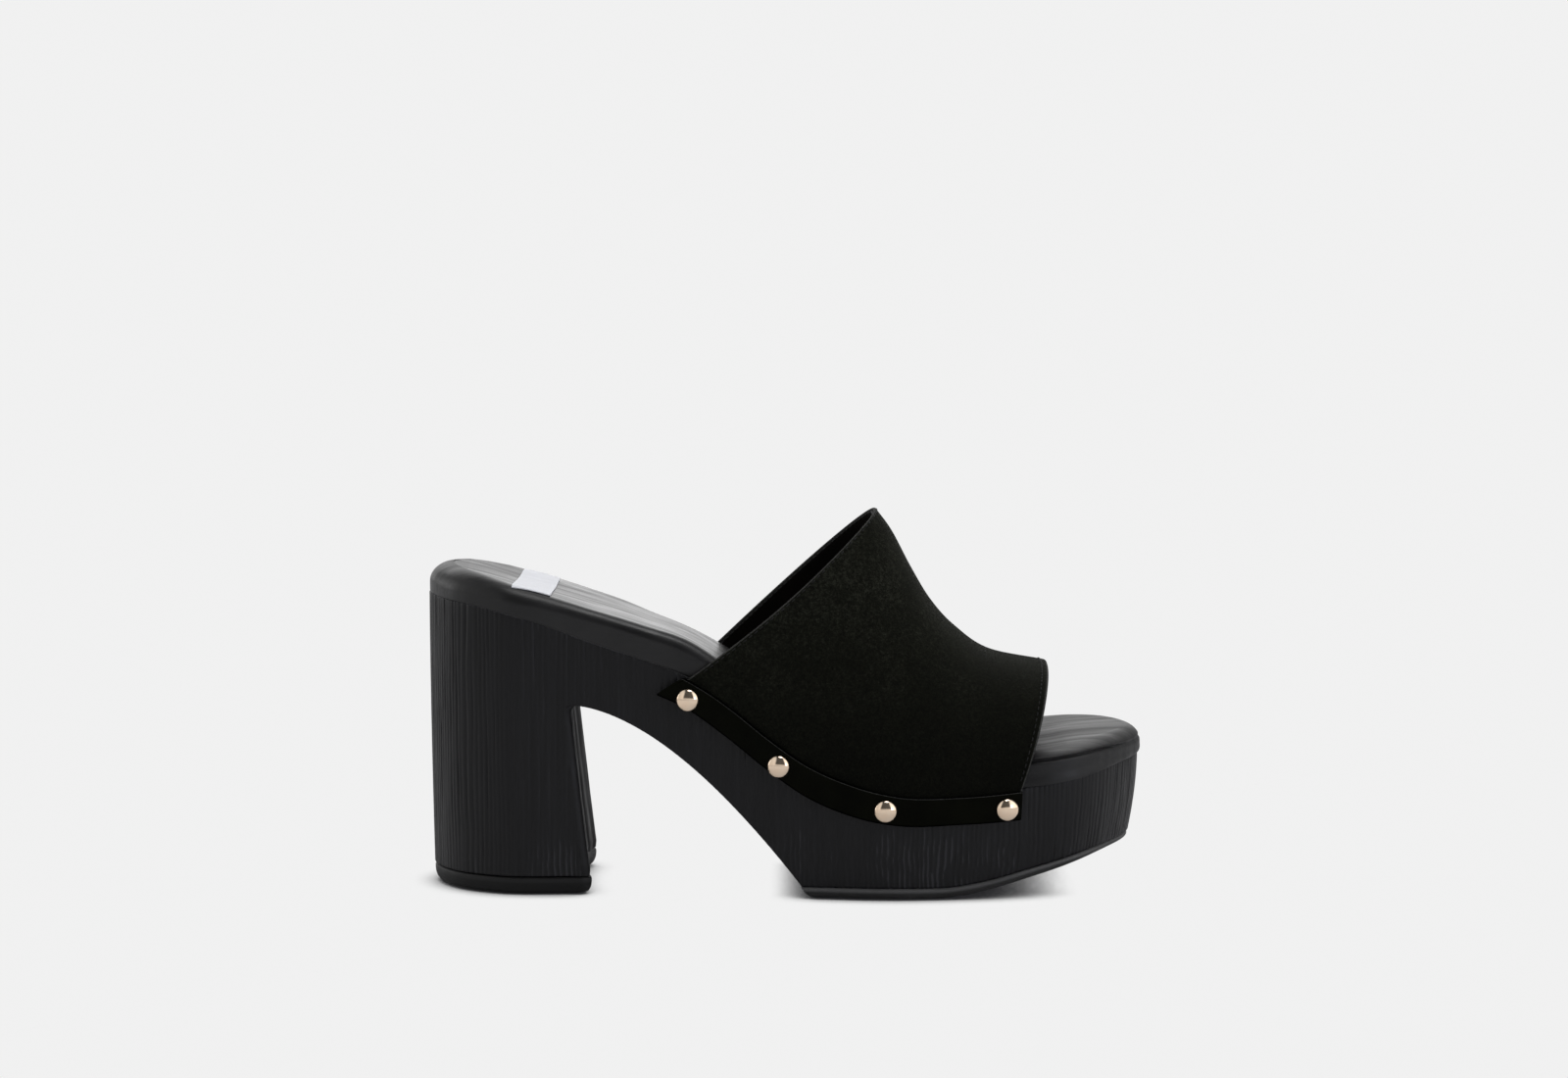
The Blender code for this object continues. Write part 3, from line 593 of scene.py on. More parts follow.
# ---- platform
def grain(place, z):
    """The moulded wood grain: depth of its uneven upright grooves, and scuffing on its ridges."""
    plan = outline_at(place)[0]
    x = plan[..., 0]
    y = plan[..., 1]
    turns = round(LENGTH / GRAIN_PITCH)
    phase = place / LENGTH * turns
    phase = phase + 0.9 * wander(3.1, x * 0.12, y * 0.12, z * 0.008)
    phase = phase + 0.20 * wander(7.7, x * 0.30, y * 0.30, z * 0.05)
    phase = phase + 0.45 * smoothstep(34.0, 12.0, z) * wander(9.2, x * 0.08, y * 0.08, z * 0.16)
    groove = 1 - np.abs(np.sin(math.pi * phase)) ** 0.7
    strength = np.clip(0.62 + 0.95 * wander(11.3, x * 0.55, y * 0.55, z * 0.035), 0.12, 1.15)
    fine = 0.5 + 0.5 * np.cos(2 * math.pi * 2.37 * phase + 2.0 * wander(5.9, x * 0.4, y * 0.4, z * 0.03))
    patch = 0.6 * smoothstep(-0.35, 0.35, wander(33.0, x * 0.07, y * 0.07, z * 0.05))
    for middle, reach in SCUFFED_X:
        patch = np.maximum(patch, np.exp(-((x - middle) / reach) ** 2))
    patch = patch * smoothstep(-0.9, 0.0, wander(35.0, x * 0.5, y * 0.5, z * 0.06))
    low = np.where(x < UNDER_ARCH_X, smoothstep(26.0, 9.0, z), smoothstep(32.0, 16.0, z))
    scuff = np.abs(np.sin(math.pi * phase)) ** 5 * patch * low
    return GRAIN_DEPTH * (groove * strength + 0.14 * fine), scuff


def grooved_wall(places, drop, drawn_in):
    """Rows of wall points at each place with the grain cut into them, and their scuffing."""
    spots = np.broadcast_to(places, drop.shape)
    depth, wear_and_highlight = grain(spots, seat_z(outline_at(places)[0][:, 0]) - drop)
    return wall(spots, drop, -drawn_in - depth), wear_and_highlight


def under_z(x):
    """Lower end of the wall over the arch: the fillet at the breast's top, then the arch."""
    ahead = np.clip(x - SPLIT_X, 0.0, BREAST_FILLET)
    fillet = FILLET_Z + np.sqrt(BREAST_FILLET ** 2 - (BREAST_FILLET - ahead) ** 2)
    share = np.clip((x - FILLET_END_X) / (ARCH_FROM_X - FILLET_END_X), 0.0, 1.0)
    level = blend(ARCH_TOP, arch_z(ARCH_FROM_X), share)
    return np.where(x < FILLET_END_X, fillet, np.where(x < ARCH_FROM_X, level, arch_z(x)))


def breast_line_z(x):
    """Height at which the breast's corner crosses the wall at x."""
    share = (x + BREAST_CORNER - BREAST_FOOT_X) / (BREAST_TOP_X - BREAST_FOOT_X)
    return ARCH_TOP * np.clip(share, 0.0, None) ** (1 / BREAST_POWER)


def across_places():
    """Across the breast and arch: how far over (0 to 1), and how far ahead of the corners it lies."""
    turns = np.linspace(math.pi / 2, 0.0, CORNER_COLUMNS)[1:]
    shares = np.linspace(-1.0, 1.0, BREAST_COLUMNS)[1:-1]
    middle = BREAST_HALF_WIDTH - BREAST_CORNER
    corner_y = middle + BREAST_CORNER * np.sin(turns)
    corner_x = BREAST_CORNER * np.cos(turns)
    y = np.concatenate([-corner_y, shares * middle, corner_y[::-1]])
    ahead = np.concatenate([corner_x, BREAST_CORNER - BREAST_HOLLOW * (1 - shares ** 2), corner_x[::-1]])
    return (y / BREAST_HALF_WIDTH + 1) / 2, ahead


def breast_grain(over, z):
    """Strong upright lines in the hollow breast."""
    y = over * 2 * BREAST_HALF_WIDTH
    phase = y / BREAST_PITCH + 0.7 * wander(21.0, y * 0.09, z * 0.012)
    strength = np.clip(0.7 + 0.7 * wander(27.0, y * 0.2, z * 0.02), 0.2, 1.0)
    return BREAST_DEPTH * ((0.5 - 0.5 * np.cos(2 * math.pi * phase)) ** 1.5 - 0.35) * strength


def make_platform(look):
    """Unit sole and heel: a grooved wall all round, the hollow breast and the arch."""
    foot_x = breast_x(HEEL_TOP) - BREAST_CORNER
    reach = ((ARCH_TOP - OUTSOLE_THICKNESS - SEAM) / ARCH_DROP) ** (1 / ARCH_POWER) * ARCH_LENGTH
    front_x = BREAST_TOP_X + reach
    leaning = math.ceil((foot_x - SPLIT_X) / COLUMN_WIDTH) + 1
    spanning = math.ceil((front_x - foot_x) / COLUMN_WIDTH / ARCH_STRIDE) * ARCH_STRIDE
    middle_x = np.concatenate([np.linspace(SPLIT_X, foot_x, leaning),
                               np.linspace(foot_x, front_x, spanning + 1)[1:]])
    lateral = place_at(LATERAL, middle_x)
    medial = place_at(MEDIAL, middle_x)[::-1]
    toe = columns_between(lateral[-1], medial[0])
    heel = columns_between(medial[-1], lateral[0] + LENGTH)
    medial_from = len(lateral) + len(toe)
    heel_from = medial_from + len(medial)

    places = np.concatenate([lateral, toe, medial, heel])
    heel_high = np.full(len(heel), FILLET_Z)
    under = under_z(middle_x)
    low = np.concatenate([under, base_z(outline_at(toe)[0][:, 0]), under[::-1], heel_high])
    corner = ARCH_EDGE * smoothstep(SPLIT_X, FILLET_END_X, middle_x)
    corner[-(spanning // 8):] = np.linspace(ARCH_EDGE, FOOT_EDGE, spanning // 8)
    edge = np.concatenate([corner, np.full(len(toe), FOOT_EDGE), corner[::-1], np.zeros(len(heel))])

    total = seat_z(outline_at(places)[0][:, 0]) - low
    shares = np.linspace(0.0, 1.0, WALL_ROWS + 2)[1:-1, None]
    drop = np.vstack([EDGE_PARTS[:, None] * SEAT_EDGE + 0 * total,
                      blend(SEAT_EDGE, total - FOOT_EDGE, shares),
                      total - EDGE_PARTS[::-1, None] * FOOT_EDGE])
    upper, upper_wear_and_highlight = grooved_wall(places, drop, rounded(drop, SEAT_EDGE) + rounded(total - drop, edge))
    plan = outline_at(places)[0]
    # Patches of the top rounded rim are marked paler: a painted highlight where the edge catches the light.
    highlight_and_mottle = smoothstep(-0.25, 0.2, wander(37.0, plan[:, 0] * 0.06, plan[:, 1] * 0.06))
    rim = np.s_[:len(EDGE_PARTS) - 1]
    upper_wear_and_highlight[rim] = np.maximum(upper_wear_and_highlight[rim], highlight_and_mottle)

    places = np.concatenate([medial[-leaning:], heel, lateral[:leaning] + LENGTH])
    line = breast_line_z(np.linspace(SPLIT_X, foot_x, leaning))
    line[0] = FILLET_Z
    line[-1] = HEEL_TOP
    high = np.concatenate([line[::-1], heel_high, line])
    rows = np.concatenate([np.linspace(0.0, 0.98, HEEL_ROWS), [0.99, 0.996, 1.0]])
    z = blend(high, HEEL_TOP, rows[:, None])
    drop = seat_z(outline_at(places)[0][:, 0]) - z
    lower, lower_worn = grooved_wall(places, drop, rounded(z - HEEL_TOP, FOOT_EDGE))

    lateral_rim = np.vstack([lower[0, -leaning:][::-1], upper[-1, 1:len(lateral)]])
    medial_rim = np.vstack([lower[0, :leaning], upper[-1, medial_from:heel_from][-2::-1]])
    fine_rows = 2 * leaning + FINE_ARCH_ROWS
    last_row = len(lateral_rim) - 1
    kept = sorted({*range(fine_rows), *range(fine_rows, last_row, ARCH_STRIDE), last_row})
    over, ahead = across_places()
    left = lateral_rim[kept][:, None, :]
    right = medial_rim[kept][:, None, :]
    inside = blend(left, right, over[None, :, None])
    height = inside[..., 2]
    on_breast = (np.array(kept) < leaning)[:, None]
    row_x = (left[..., 0] + right[..., 0]) / 2
    fade = np.where(on_breast, 1.0, 1 - smoothstep(FILLET_END_X, ARCH_FROM_X, row_x))
    margin = np.clip(np.minimum(over, 1 - over) / 0.02, 0.0, 1.0)
    lines = breast_grain(np.broadcast_to(over, height.shape), height) * margin * fade
    foot = rounded(height - HEEL_TOP, FOOT_EDGE) * on_breast
    inside[..., 0] += ahead * fade - lines - foot

    body = Body()
    body.grid(upper, wrap=True, wear_and_highlight=upper_wear_and_highlight)
    body.grid(lower, wear_and_highlight=lower_worn)
    body.grid(inside)
    for row, (first, last) in enumerate(zip(kept, kept[1:])):
        for side_rim, end in ((lateral_rim, 0), (medial_rim, -1)):
            body.polygon(np.vstack([side_rim[first:last + 1], inside[row + 1, end], inside[row, end]]))
    body.polygon(np.vstack([lower[-1], inside[0]]))
    front = upper[-1, len(lateral) - 1:medial_from + 1]
    body.polygon(np.vstack([front[:2], front[-2:], inside[-1][::-1]]))
    body.ladder(front[1:-1])
    body.ladder(upper[0, :heel_from])
    body.ladder(np.vstack([upper[0, heel_from - 1:], upper[0, :1]]))
    settle(body.make("platform_sole", [look]), "platform", "platform")


# ---- rubber under heel and forefoot
def heel_ring(out):
    """Closed ring round the heel's foot: wall from corner to corner, then the hollow breast."""
    over, ahead = (values[::4] for values in across_places())
    corner = float(breast_x(HEEL_BASE)) + out - BREAST_CORNER - TOP_PIECE_SET_BACK
    places = np.linspace(place_at(MEDIAL, corner), place_at(LATERAL, corner) + LENGTH, HEEL_RING_COLUMNS)
    seat = seat_z(outline_at(places)[0][:, 0])
    around = wall(places, seat - HEEL_BASE, np.full(len(places), out))[:, :2]
    breast = blend(around[-1], around[0], over[:, None])
    breast[:, 0] += ahead
    return np.vstack([around, breast])


def make_heel_top_piece(look):
    """Rubber top piece: rounded foot edge, shallow groove above, two tread grooves underneath."""
    side = rows_at(HEEL_LEVELS, np.linspace(0.0, 1.0, LEVEL_ROWS))
    profile = [(inset + apart, z) for apart in (TREAD_GROOVES_APART, 0.0) for inset, z in TREAD_GROOVE]
    profile += zip(side.drawn_in, side.z)
    loops = []
    for inset, z in profile:
        ring = heel_ring(TOP_PIECE_PROUD - inset)
        loops.append(np.column_stack([ring, np.full(len(ring), z)]))
    loops = np.stack(loops)
    z = loops[..., 2]
    body = Body()
    # A band just under the rubber's top is marked for a painted highlight.
    body.tube(loops, wear_and_highlight=smoothstep(3.0, 5.0, z) * smoothstep(0.9, 0.5, np.abs(z - 5.0)))
    settle(body.make("heel_rubber", [look]), "rubber", "heel_top_piece")


def stations(start, end, count):
    """x places from start to end, closer together towards both ends."""
    turns = np.linspace(0.0, math.pi, count + 1)
    return blend(start, end, (1 - np.cos(turns)) / 2)


def level_pairs(xs, inset, height):
    """One level of a loft, lateral and medial: arrays (stations, 2, 3)."""
    inset, height = (np.broadcast_to(value, (len(xs), 2)) for value in (inset, height))
    pairs = []
    for number, side in enumerate((LATERAL, MEDIAL)):
        plan, normal = outline_at(place_at(side, xs))
        pairs.append(np.column_stack([plan - normal * inset[:, number, None], height[:, number]]))
    return np.stack(pairs, axis=1)


def outsole_z(x, height):
    """Height of an outsole level: both its faces rise a little less than the toe springs up."""
    up = height / OUTSOLE_THICKNESS
    return height + spring_z(x) * (1 - OUTSOLE_THICKER * (1 - up) - SEAM_SINKS * up)


def make_outsole(look):
    """Tread layer under the forefoot, with its bevelled ledge and cross ribs underneath."""
    rows = rows_at(OUTSOLE_LEVELS, np.linspace(0.0, 1.0, LEVEL_ROWS))
    levels = []
    for height, inset, rear in zip(rows.height, rows.inset, rows.rear_x):
        xs = stations(rear, TIP_X, OUTSOLE_COLUMNS)
        drawn_in = inset + TIP_DRAWN_IN * smoothstep(*TIP_DRAWN_X, xs)
        levels.append(level_pairs(xs, drawn_in[:, None], outsole_z(xs, height)[:, None]))
    levels = np.stack(levels)
    # The upper shoulder is marked for a painted highlight; below it the rubber stays dark, painted shade
    # towards the foot.
    shoulder_highlight = np.broadcast_to(smoothstep(2.2, 3.5, rows.height)[:, None], levels.shape[:2])
    share = np.linspace(0.0, 1.0, 41)
    under = blend(levels[0][:, :1], levels[0][:, 1:], share[:, None])
    x = under[..., 0]
    rib = smoothstep(0.35, 0.75, np.cos(2 * math.pi * (x + 1.5 * np.sin(under[..., 1] * 0.16)) / RIB_PITCH))
    border = smoothstep(0.0, 5.0, x - rows.rear_x[0]) * smoothstep(0.0, 6.0, TIP_X - 8.0 - x)
    border = border * smoothstep(0.08, 0.14, np.minimum(share, 1 - share))
    under[..., 2] += RIB_DEPTH * rib * border
    body = Body()
    body.grid(levels[:, :, 0], wear_and_highlight=shoulder_highlight)
    body.grid(levels[:, :, 1], wear_and_highlight=shoulder_highlight)
    for points in (levels[:, 0], levels[:, -1], levels[-1], under):
        body.grid(points)
    settle(body.make("forefoot_rubber", [look]), "rubber", "outsole_forefoot")


# ---- footbed and label
def footbed_value(name, x):
    return through(column(FOOTBED, "x"), column(FOOTBED, name), x)


def footbed_overhang(x):
    rear = blend(FOOTBED_OVERHANG_HEEL, FOOTBED_UNDER_VAMP, smoothstep(*COVERED_FROM_X, x))
    return blend(rear, FOOTBED_OVERHANG_TOE, smoothstep(*COVERED_TO_X, x))


def footbed_swell(x, y):
    """Soft unevenness of the padding, and a shallow tread where the heel and ball rest."""
    swell = 0.22 * wander(41.0, x * 0.028, y * 0.055) + 0.10 * wander(43.0, x * 0.09, y * 0.12)
    for dish in DISHES:
        away = ((x - dish.x) / dish.long) ** 2 + ((y - dish.y) / dish.wide) ** 2
        swell = swell - dish.deep * np.exp(-away)
    return swell


def rolled_edge(x, thick):
    """Width and height of the footbed's rolled edge: a broad flat lip where the toes rest."""
    roll = footbed_value("roll", x)[:, None]
    lip = smoothstep(*LIP_FROM_X, x)[:, None]
    tip = smoothstep(*LIP_TO_TIP_X, x)[:, None]
    height = np.minimum(roll, ROLL_SHARE * thick)
    return blend(roll, blend(*LIP_WIDTH, tip), lip), blend(height, blend(*LIP_HEIGHT, tip), lip)


def cover_crease(x, share, line):
    """How far the cover dips along its side, in a sharp crease right under the toe's lip."""
    depth = blend(*CREASE_DEPTH, smoothstep(*CREASE_DEPTH_X, x)) * smoothstep(*LIP_FROM_X, x)
    valley = np.exp(-((share - line) / CREASE_WIDTH) ** 2)
    return depth * np.where(share > line, valley, 0.3 + 0.7 * valley) * smoothstep(0.08, 0.36, share)


def make_footbed(look):
    """Padded insole: tucked under at its foot, bulging, with a rolled edge and a creased cover."""
    xs = stations(BACK_X, TIP_X, FOOTBED_COLUMNS)
    thick = np.stack([footbed_value("lateral", xs), footbed_value("medial", xs)], axis=1)
    roll, roll_height = rolled_edge(xs, thick)
    line = 1 - blend(*CREASE_DOWN, smoothstep(*CREASE_DOWN_X, xs))[:, None] / thick
    tuck = blend(*COVER_TUCK, smoothstep(*TUCK_X, xs))[:, None]
    over = footbed_overhang(xs)[:, None]
    seat = seat_z(xs)[:, None]
    bulge = BULGE_SHARE * thick
    side_foot = seat + COVER_CLEAR + bulge
    side_head = seat + thick - roll_height
    levels = []
    for turn in np.linspace(0.0, math.pi / 2, 7)[:-1]:
        levels.append((tuck * (1 - math.sin(turn)) - over, side_foot - bulge * math.cos(turn)))
    for share in np.concatenate([np.linspace(0.0, 0.7, 8), np.linspace(0.73, 1.0, 10)[:-1]]):
        levels.append((-over, blend(side_foot, side_head, share)))
    for turn in np.linspace(0.0, math.pi / 2, 19):
        levels.append((roll * (1 - math.cos(turn)) - over, side_head + roll_height * math.sin(turn)))
    creased = [(inset + cover_crease(xs[:, None], (height - seat) / thick, line), height)
               for inset, height in levels]
    skin = np.stack([level_pairs(xs, inset, height) for inset, height in creased])
    across = np.linspace(0.0, 1.0, 61)
    top = blend(skin[-1][:, :1], skin[-1][:, 1:], across[:, None])
    inner = smoothstep(0.0, 0.10, np.minimum(across, 1 - across))
    top[..., 2] += footbed_swell(top[..., 0], top[..., 1]) * inner
    body = Body()
    for points in (skin[:, :, 0], skin[:, :, 1], skin[0], top):
        body.grid(points)
    footbed = settle(body.make("footbed_pad", [look]), "footbed", "footbed")


def footbed_top(x, y):
    """Height of the padded footbed's upper face."""
    lateral = outline_at(place_at(LATERAL, x))[0][..., 1]
    medial = outline_at(place_at(MEDIAL, x))[0][..., 1]
    across = (y - lateral) / (medial - lateral)
    thick = blend(footbed_value("lateral", x), footbed_value("medial", x), across)
    roll = footbed_value("roll", x)
    edge = np.minimum(y - lateral, medial - y) + footbed_overhang(x)
    part = np.clip(1 - edge / roll, 0.0, 1.0)
    drop = np.minimum(roll, ROLL_SHARE * thick) * (1 - np.sqrt(1 - part ** 2))
    inner = smoothstep(0.0, 0.10, np.clip((edge - roll) / (medial - lateral - 2 * roll), 0.0, 1.0))
    return seat_z(x) + thick - drop + footbed_swell(x, y) * inner


def make_label(look):
    """Blank woven label lying across the footbed, cut a little askew."""
    xs = np.linspace(LABEL_FROM_X, LABEL_TO_X, 31)
    ys = np.linspace(LABEL_FROM_Y, LABEL_TO_Y, 95)
    x, y = np.meshgrid(xs, ys, indexing="ij")
    rear = (LABEL_TO_X - x) / (LABEL_TO_X - LABEL_FROM_X)
    far = (y - LABEL_FROM_Y) / (LABEL_TO_Y - LABEL_FROM_Y)
    x = x + LABEL_SKEW * y + far * blend(*LABEL_SLANT, rear)
    y = y - LABEL_CORNER_DOWN * rear * (1 - far)
    low = footbed_top(x, y) + LABEL_CLEAR + 0.08 * (1 + wander(51.0, x * 0.16, y * 0.16))
    bottom = np.stack([x, y, low], axis=-1)
    top = np.stack([x, y, low + LABEL_THICKNESS], axis=-1)
    body = Body()
    body.grid(bottom)
    body.grid(top)
    for edge in (np.s_[0], np.s_[-1], np.s_[:, 0], np.s_[:, -1]):
        body.grid(np.stack([bottom[edge], top[edge]]))
    label = settle(body.make("blank_label", [look]), "label", "footbed_label")


# ---- upper
def inner_point(u, v):
    """The vamp's inner face: v runs from -1, the lateral hem, over the ridge to +1, the medial hem."""
    u, v = np.broadcast_arrays(np.asarray(u, float), np.asarray(v, float))
    row = rows_at(SECTIONS, u)
    amount = np.abs(v)
    is_medial = v >= 0
    down = np.clip((amount - JOINT_V) / (1 - JOINT_V), 0.0, None)
    x = blend(row.joint_x, row.hem_x, down) + np.where(is_medial, row.medial_forward, 0.0)
    place = np.where(is_medial, place_at(MEDIAL, x), place_at(LATERAL, x))
    foot = wall(place, row.hem_drop * down, np.full(u.shape, GAP))
    turn = np.clip(1 - amount / JOINT_V, 0.0, 1.0) * math.pi / 2
    rise = np.sin(turn) ** (2 / row.flank)
    spread = np.cos(turn) ** (2 / row.crown)
    lean_x = row.ridge_x - foot[..., 0]
    lean_z = row.ridge_z - foot[..., 2]
    size = np.hypot(lean_x, lean_z)
    bow = np.where(is_medial, row.medial_bow, row.lateral_bow) * np.sin(math.pi * rise)
    crown = np.stack([foot[..., 0] + lean_x * rise - lean_z / size * bow,
                      blend(row.ridge_y, foot[..., 1], spread),
                      foot[..., 2] + lean_z * rise + lean_x / size * bow], axis=-1)
    return np.where((amount >= JOINT_V)[..., None], foot, crown)


def upper_normal(u, v):
    """Outward normal of the vamp."""
    step = 0.004
    along = inner_point(np.minimum(u + step, 1.0), v) - inner_point(np.maximum(u - step, 0.0), v)
    over = inner_point(u, np.minimum(v + step, 1.0)) - inner_point(u, np.maximum(v - step, -1.0))
    normal = np.cross(along, over)
    return normal / np.linalg.norm(normal, axis=-1)[..., None]


def upper_point(u, v, out):
    """Points on the vamp, `out` millimetres outside its inner face."""
    return inner_point(u, v) + upper_normal(u, v) * np.asarray(out)[..., None]


def length_along_u(v):
    """Length of the vamp from collar to toe mouth at each v."""
    us = np.linspace(0.0, 1.0, 40)[:, None]
    run = inner_point(us, np.asarray(v)[None, :])
    return np.linalg.norm(np.diff(run, axis=0), axis=-1).sum(axis=0)


def crown_places(count, hem):
    """v places from hem to hem, evenly spread over the crown and down the sides."""
    hem_count = max(3, count // 12)
    lateral_hem = np.linspace(-hem, -JOINT_V, hem_count)
    crown = np.linspace(-JOINT_V, JOINT_V, count)[1:-1]
    return np.concatenate([lateral_hem, crown, -lateral_hem[::-1]])


def shell_loops(vs, inside, outside, set_back, out_count, in_count, rim_steps):
    """Closed sections of a shell along u, one for each v, with rounded rims at both ends."""
    radius = (outside - inside) / 2
    length = length_along_u(vs)[:, None]
    turns = np.linspace(math.pi / 2, -math.pi / 2, rim_steps)[1:-1]
    first = (set_back + radius) / length
    rim = radius * np.cos(turns) / length
    rim_out = (outside + inside) / 2 + radius * np.sin(turns)
    us = np.hstack([blend(first, 1 - first, np.linspace(0.0, 1.0, out_count)), 1 - first + rim,
                    blend(1 - first, first, np.linspace(0.0, 1.0, in_count)), first - rim[:, ::-1]])
    outs = np.concatenate([np.full(out_count, outside), rim_out, np.full(in_count, inside), rim_out[::-1]])
    return upper_point(us, vs[:, None], outs)


def make_vamp(suede, lining, edge):
    """The upper: a suede shell with cut edges, and a thin lining inside it."""
    out_count, in_count, rim_steps = 150, 60, 7
    loops = shell_loops(crown_places(170, SUEDE_HEM), SUEDE_INSIDE, VAMP_THICKNESS, 0.0,
                        out_count, in_count, rim_steps)
    in_from = out_count + rim_steps - 2
    in_end = in_from + in_count - 1
    body = Body()
    body.grid(loops[:, :out_count])
    body.grid(loops[:, out_count - 1:in_from + 1], look=1)
    body.grid(loops[:, in_from:in_end])
    body.grid(np.concatenate([loops[:, in_end - 1:], loops[:, :1]], axis=1), look=1)
    body.cap(loops)
    settle(body.make("suede_vamp", [suede, edge]), "suede", "vamp")

    body = Body()
    body.tube(shell_loops(crown_places(90, SUEDE_HEM), LINING_INSIDE, LINING_OUTSIDE, LINING_SET_BACK,
                          60, 60, 5))
    settle(body.make("vamp_lining", [lining]), "suede")


def nail_places(side):
    """(u, v) of each nail on one side's strip."""
    found = []
    us = np.linspace(0.0, 1.0, 400)
    for nail in NAILS:
        v = side * blend(JOINT_V, 1.0, nail.down)
        found.append((float(np.interp(nail.x, inner_point(us, np.full(400, v))[:, 0], us)), v))
    return found


def make_strip(side, word, looks):
    """Smooth strip over the vamp's hem: rounded edges, a low crown, and dimples at the nails."""
    radius = STRIP_THICKNESS / 2
    us = np.concatenate([[0.0, 0.0006, 0.002, 0.005], np.linspace(0.01, 0.99, STRIP_COLUMNS),
                         [0.995, 0.998, 0.9994, 1.0]])[:, None]
    end = np.clip(np.minimum(us, 1 - us) / STRIP_END, 0.0, 1.0)
    plump = np.sqrt(1 - (1 - end) ** 2)
    turns = np.linspace(math.pi / 2, -math.pi / 2, 9)
    turning = turns[1:-1]
    face = np.linspace(-1.0, 1.0, 25)
    edge_share = radius / STRIP_WIDTH
    reach = 0.5 - edge_share
    half = np.concatenate([face * reach, reach + edge_share * np.cos(turning)])
    across = np.concatenate([half, -half])
    lift = np.concatenate([radius + STRIP_CROWN * (1 - face ** 2), radius * np.sin(turning),
                           np.full(len(face), -radius), -radius * np.sin(turning)])
    v = side * blend(JOINT_V, 1.0, 0.5 + across * (0.9 + 0.1 * plump))
    out = VAMP_THICKNESS + GAP + radius + lift * (0.15 + 0.85 * plump)
    for nail_u, nail_v in nail_places(side):
        distance = np.linalg.norm(inner_point(us, v) - inner_point(nail_u, nail_v), axis=-1)
        out = out - DIMPLE_DEPTH * np.exp(-(distance / DIMPLE_RADIUS) ** 4) * (lift > 0)
    loops = upper_point(us, v, out)
    tab = 1 - smoothstep(0.0, TAB_LENGTH, us)
    loops[..., 0] -= TAB_REACH[0] * tab
    loops[..., 2] += TAB_REACH[1] * tab
    body = Body()
    body.cap(loops)
    loops = np.concatenate([loops, loops[:, :1]], axis=1)
    face_end = len(face) - 1
    edge_end = face_end + len(turns) - 1
    back_end = edge_end + len(face) - 1
    closing = loops.shape[1] - 1
    # Look 2, the last ring beside the face on the upper edge, paints a pale highlight line along that
    # corner.
    for first, last, look in ((0, face_end, 0), (face_end, edge_end, 1), (edge_end, back_end, 0),
                              (back_end, closing - 1, 1), (closing - 1, closing, 2)):
        body.grid(loops[:, first:last + 1], look=look)
    settle(body.make(f"strip_{word}", looks), "strip", f"side_strip_{word}")


def stud_mesh(look):
    """Dome head of a nail, turned from its profile: a low rim under a high dome."""
    mesh = bpy.data.meshes.new("dome_head")
    form = bmesh.new()
    run = [(0.0, -0.15), (STUD_RADIUS - 0.35, -0.15), (STUD_RADIUS - 0.1, -0.05), (STUD_RADIUS, 0.12)]
    for step in range(17):
        angle = math.pi / 2 * (1 - step / 16)
        run.append((STUD_RADIUS * math.sin(angle), STUD_RIM + (STUD_HEIGHT - STUD_RIM) * math.cos(angle)))
    corners = [form.verts.new(Vector((radius, 0.0, height)) * MM) for radius, height in run]
    edges = [form.edges.new(pair) for pair in zip(corners, corners[1:])]
    bmesh.ops.spin(form, geom=corners + edges, cent=(0, 0, 0), axis=(0, 0, 1), dvec=(0, 0, 0),
                   angle=math.tau, steps=48, use_merge=True, use_duplicate=False)
    close_form(form, mesh, [look], 0.002, 50.0)
    return mesh


def make_studs(look):
    mesh = stud_mesh(look)
    out = VAMP_THICKNESS + GAP + STRIP_THICKNESS + STRIP_CROWN
    for side, word in SIDES:
        for number, (u, v) in enumerate(nail_places(side), start=1):
            stud = add_object(f"nail_head_{word}_{number}", mesh)
            spot = (Vector(upper_point(u, v, out)) + OFFSET) * MM
            axis = Vector(upper_normal(u, v))
            stud.matrix_world = Matrix.Translation(spot) @ axis.to_track_quat("Z", "Y").to_matrix().to_4x4()
            settle(stud, "stud", f"stud_{word}_{number}")


# ---- stitching
def stitch_run(edge_u, inwards, out, vs):
    """Points and normals of a line of stitching that far inwards from a rim of the vamp."""
    u = edge_u + inwards / length_along_u(vs)
    return upper_point(u, vs, out), upper_normal(u, vs)


def add_stitches(body, points, normals, outwards):
    """Short rounded threads laid along a run, dipping at both ends."""
    along = lengths_along(points)
    count = int(along[-1] / STITCH_PITCH)
    shape = np.linspace(-1.0, 1.0, 7)
    turns = np.linspace(0.0, math.tau, 8, endpoint=False)
    for number in range(count):
        middle = (number + 0.5) * along[-1] / count
        spots = middle + shape * STITCH_LENGTH / 2
        centre = run_at(spots, along, points)
        up = run_at(middle, along, normals)
        up = up / np.linalg.norm(up) * outwards
        ahead = centre[-1] - centre[0]
        ahead = ahead / np.linalg.norm(ahead)
        beside = np.cross(up, ahead)
        radius = STITCH_RADIUS * np.sqrt(1 - (0.97 * shape) ** 2)
        height = 0.10 - 0.30 * shape ** 4
        ring = np.cos(turns)[:, None] * beside + np.sin(turns)[:, None] * up
        body.tube(centre[:, None, :] + up * height[:, None, None] + ring * radius[:, None, None])


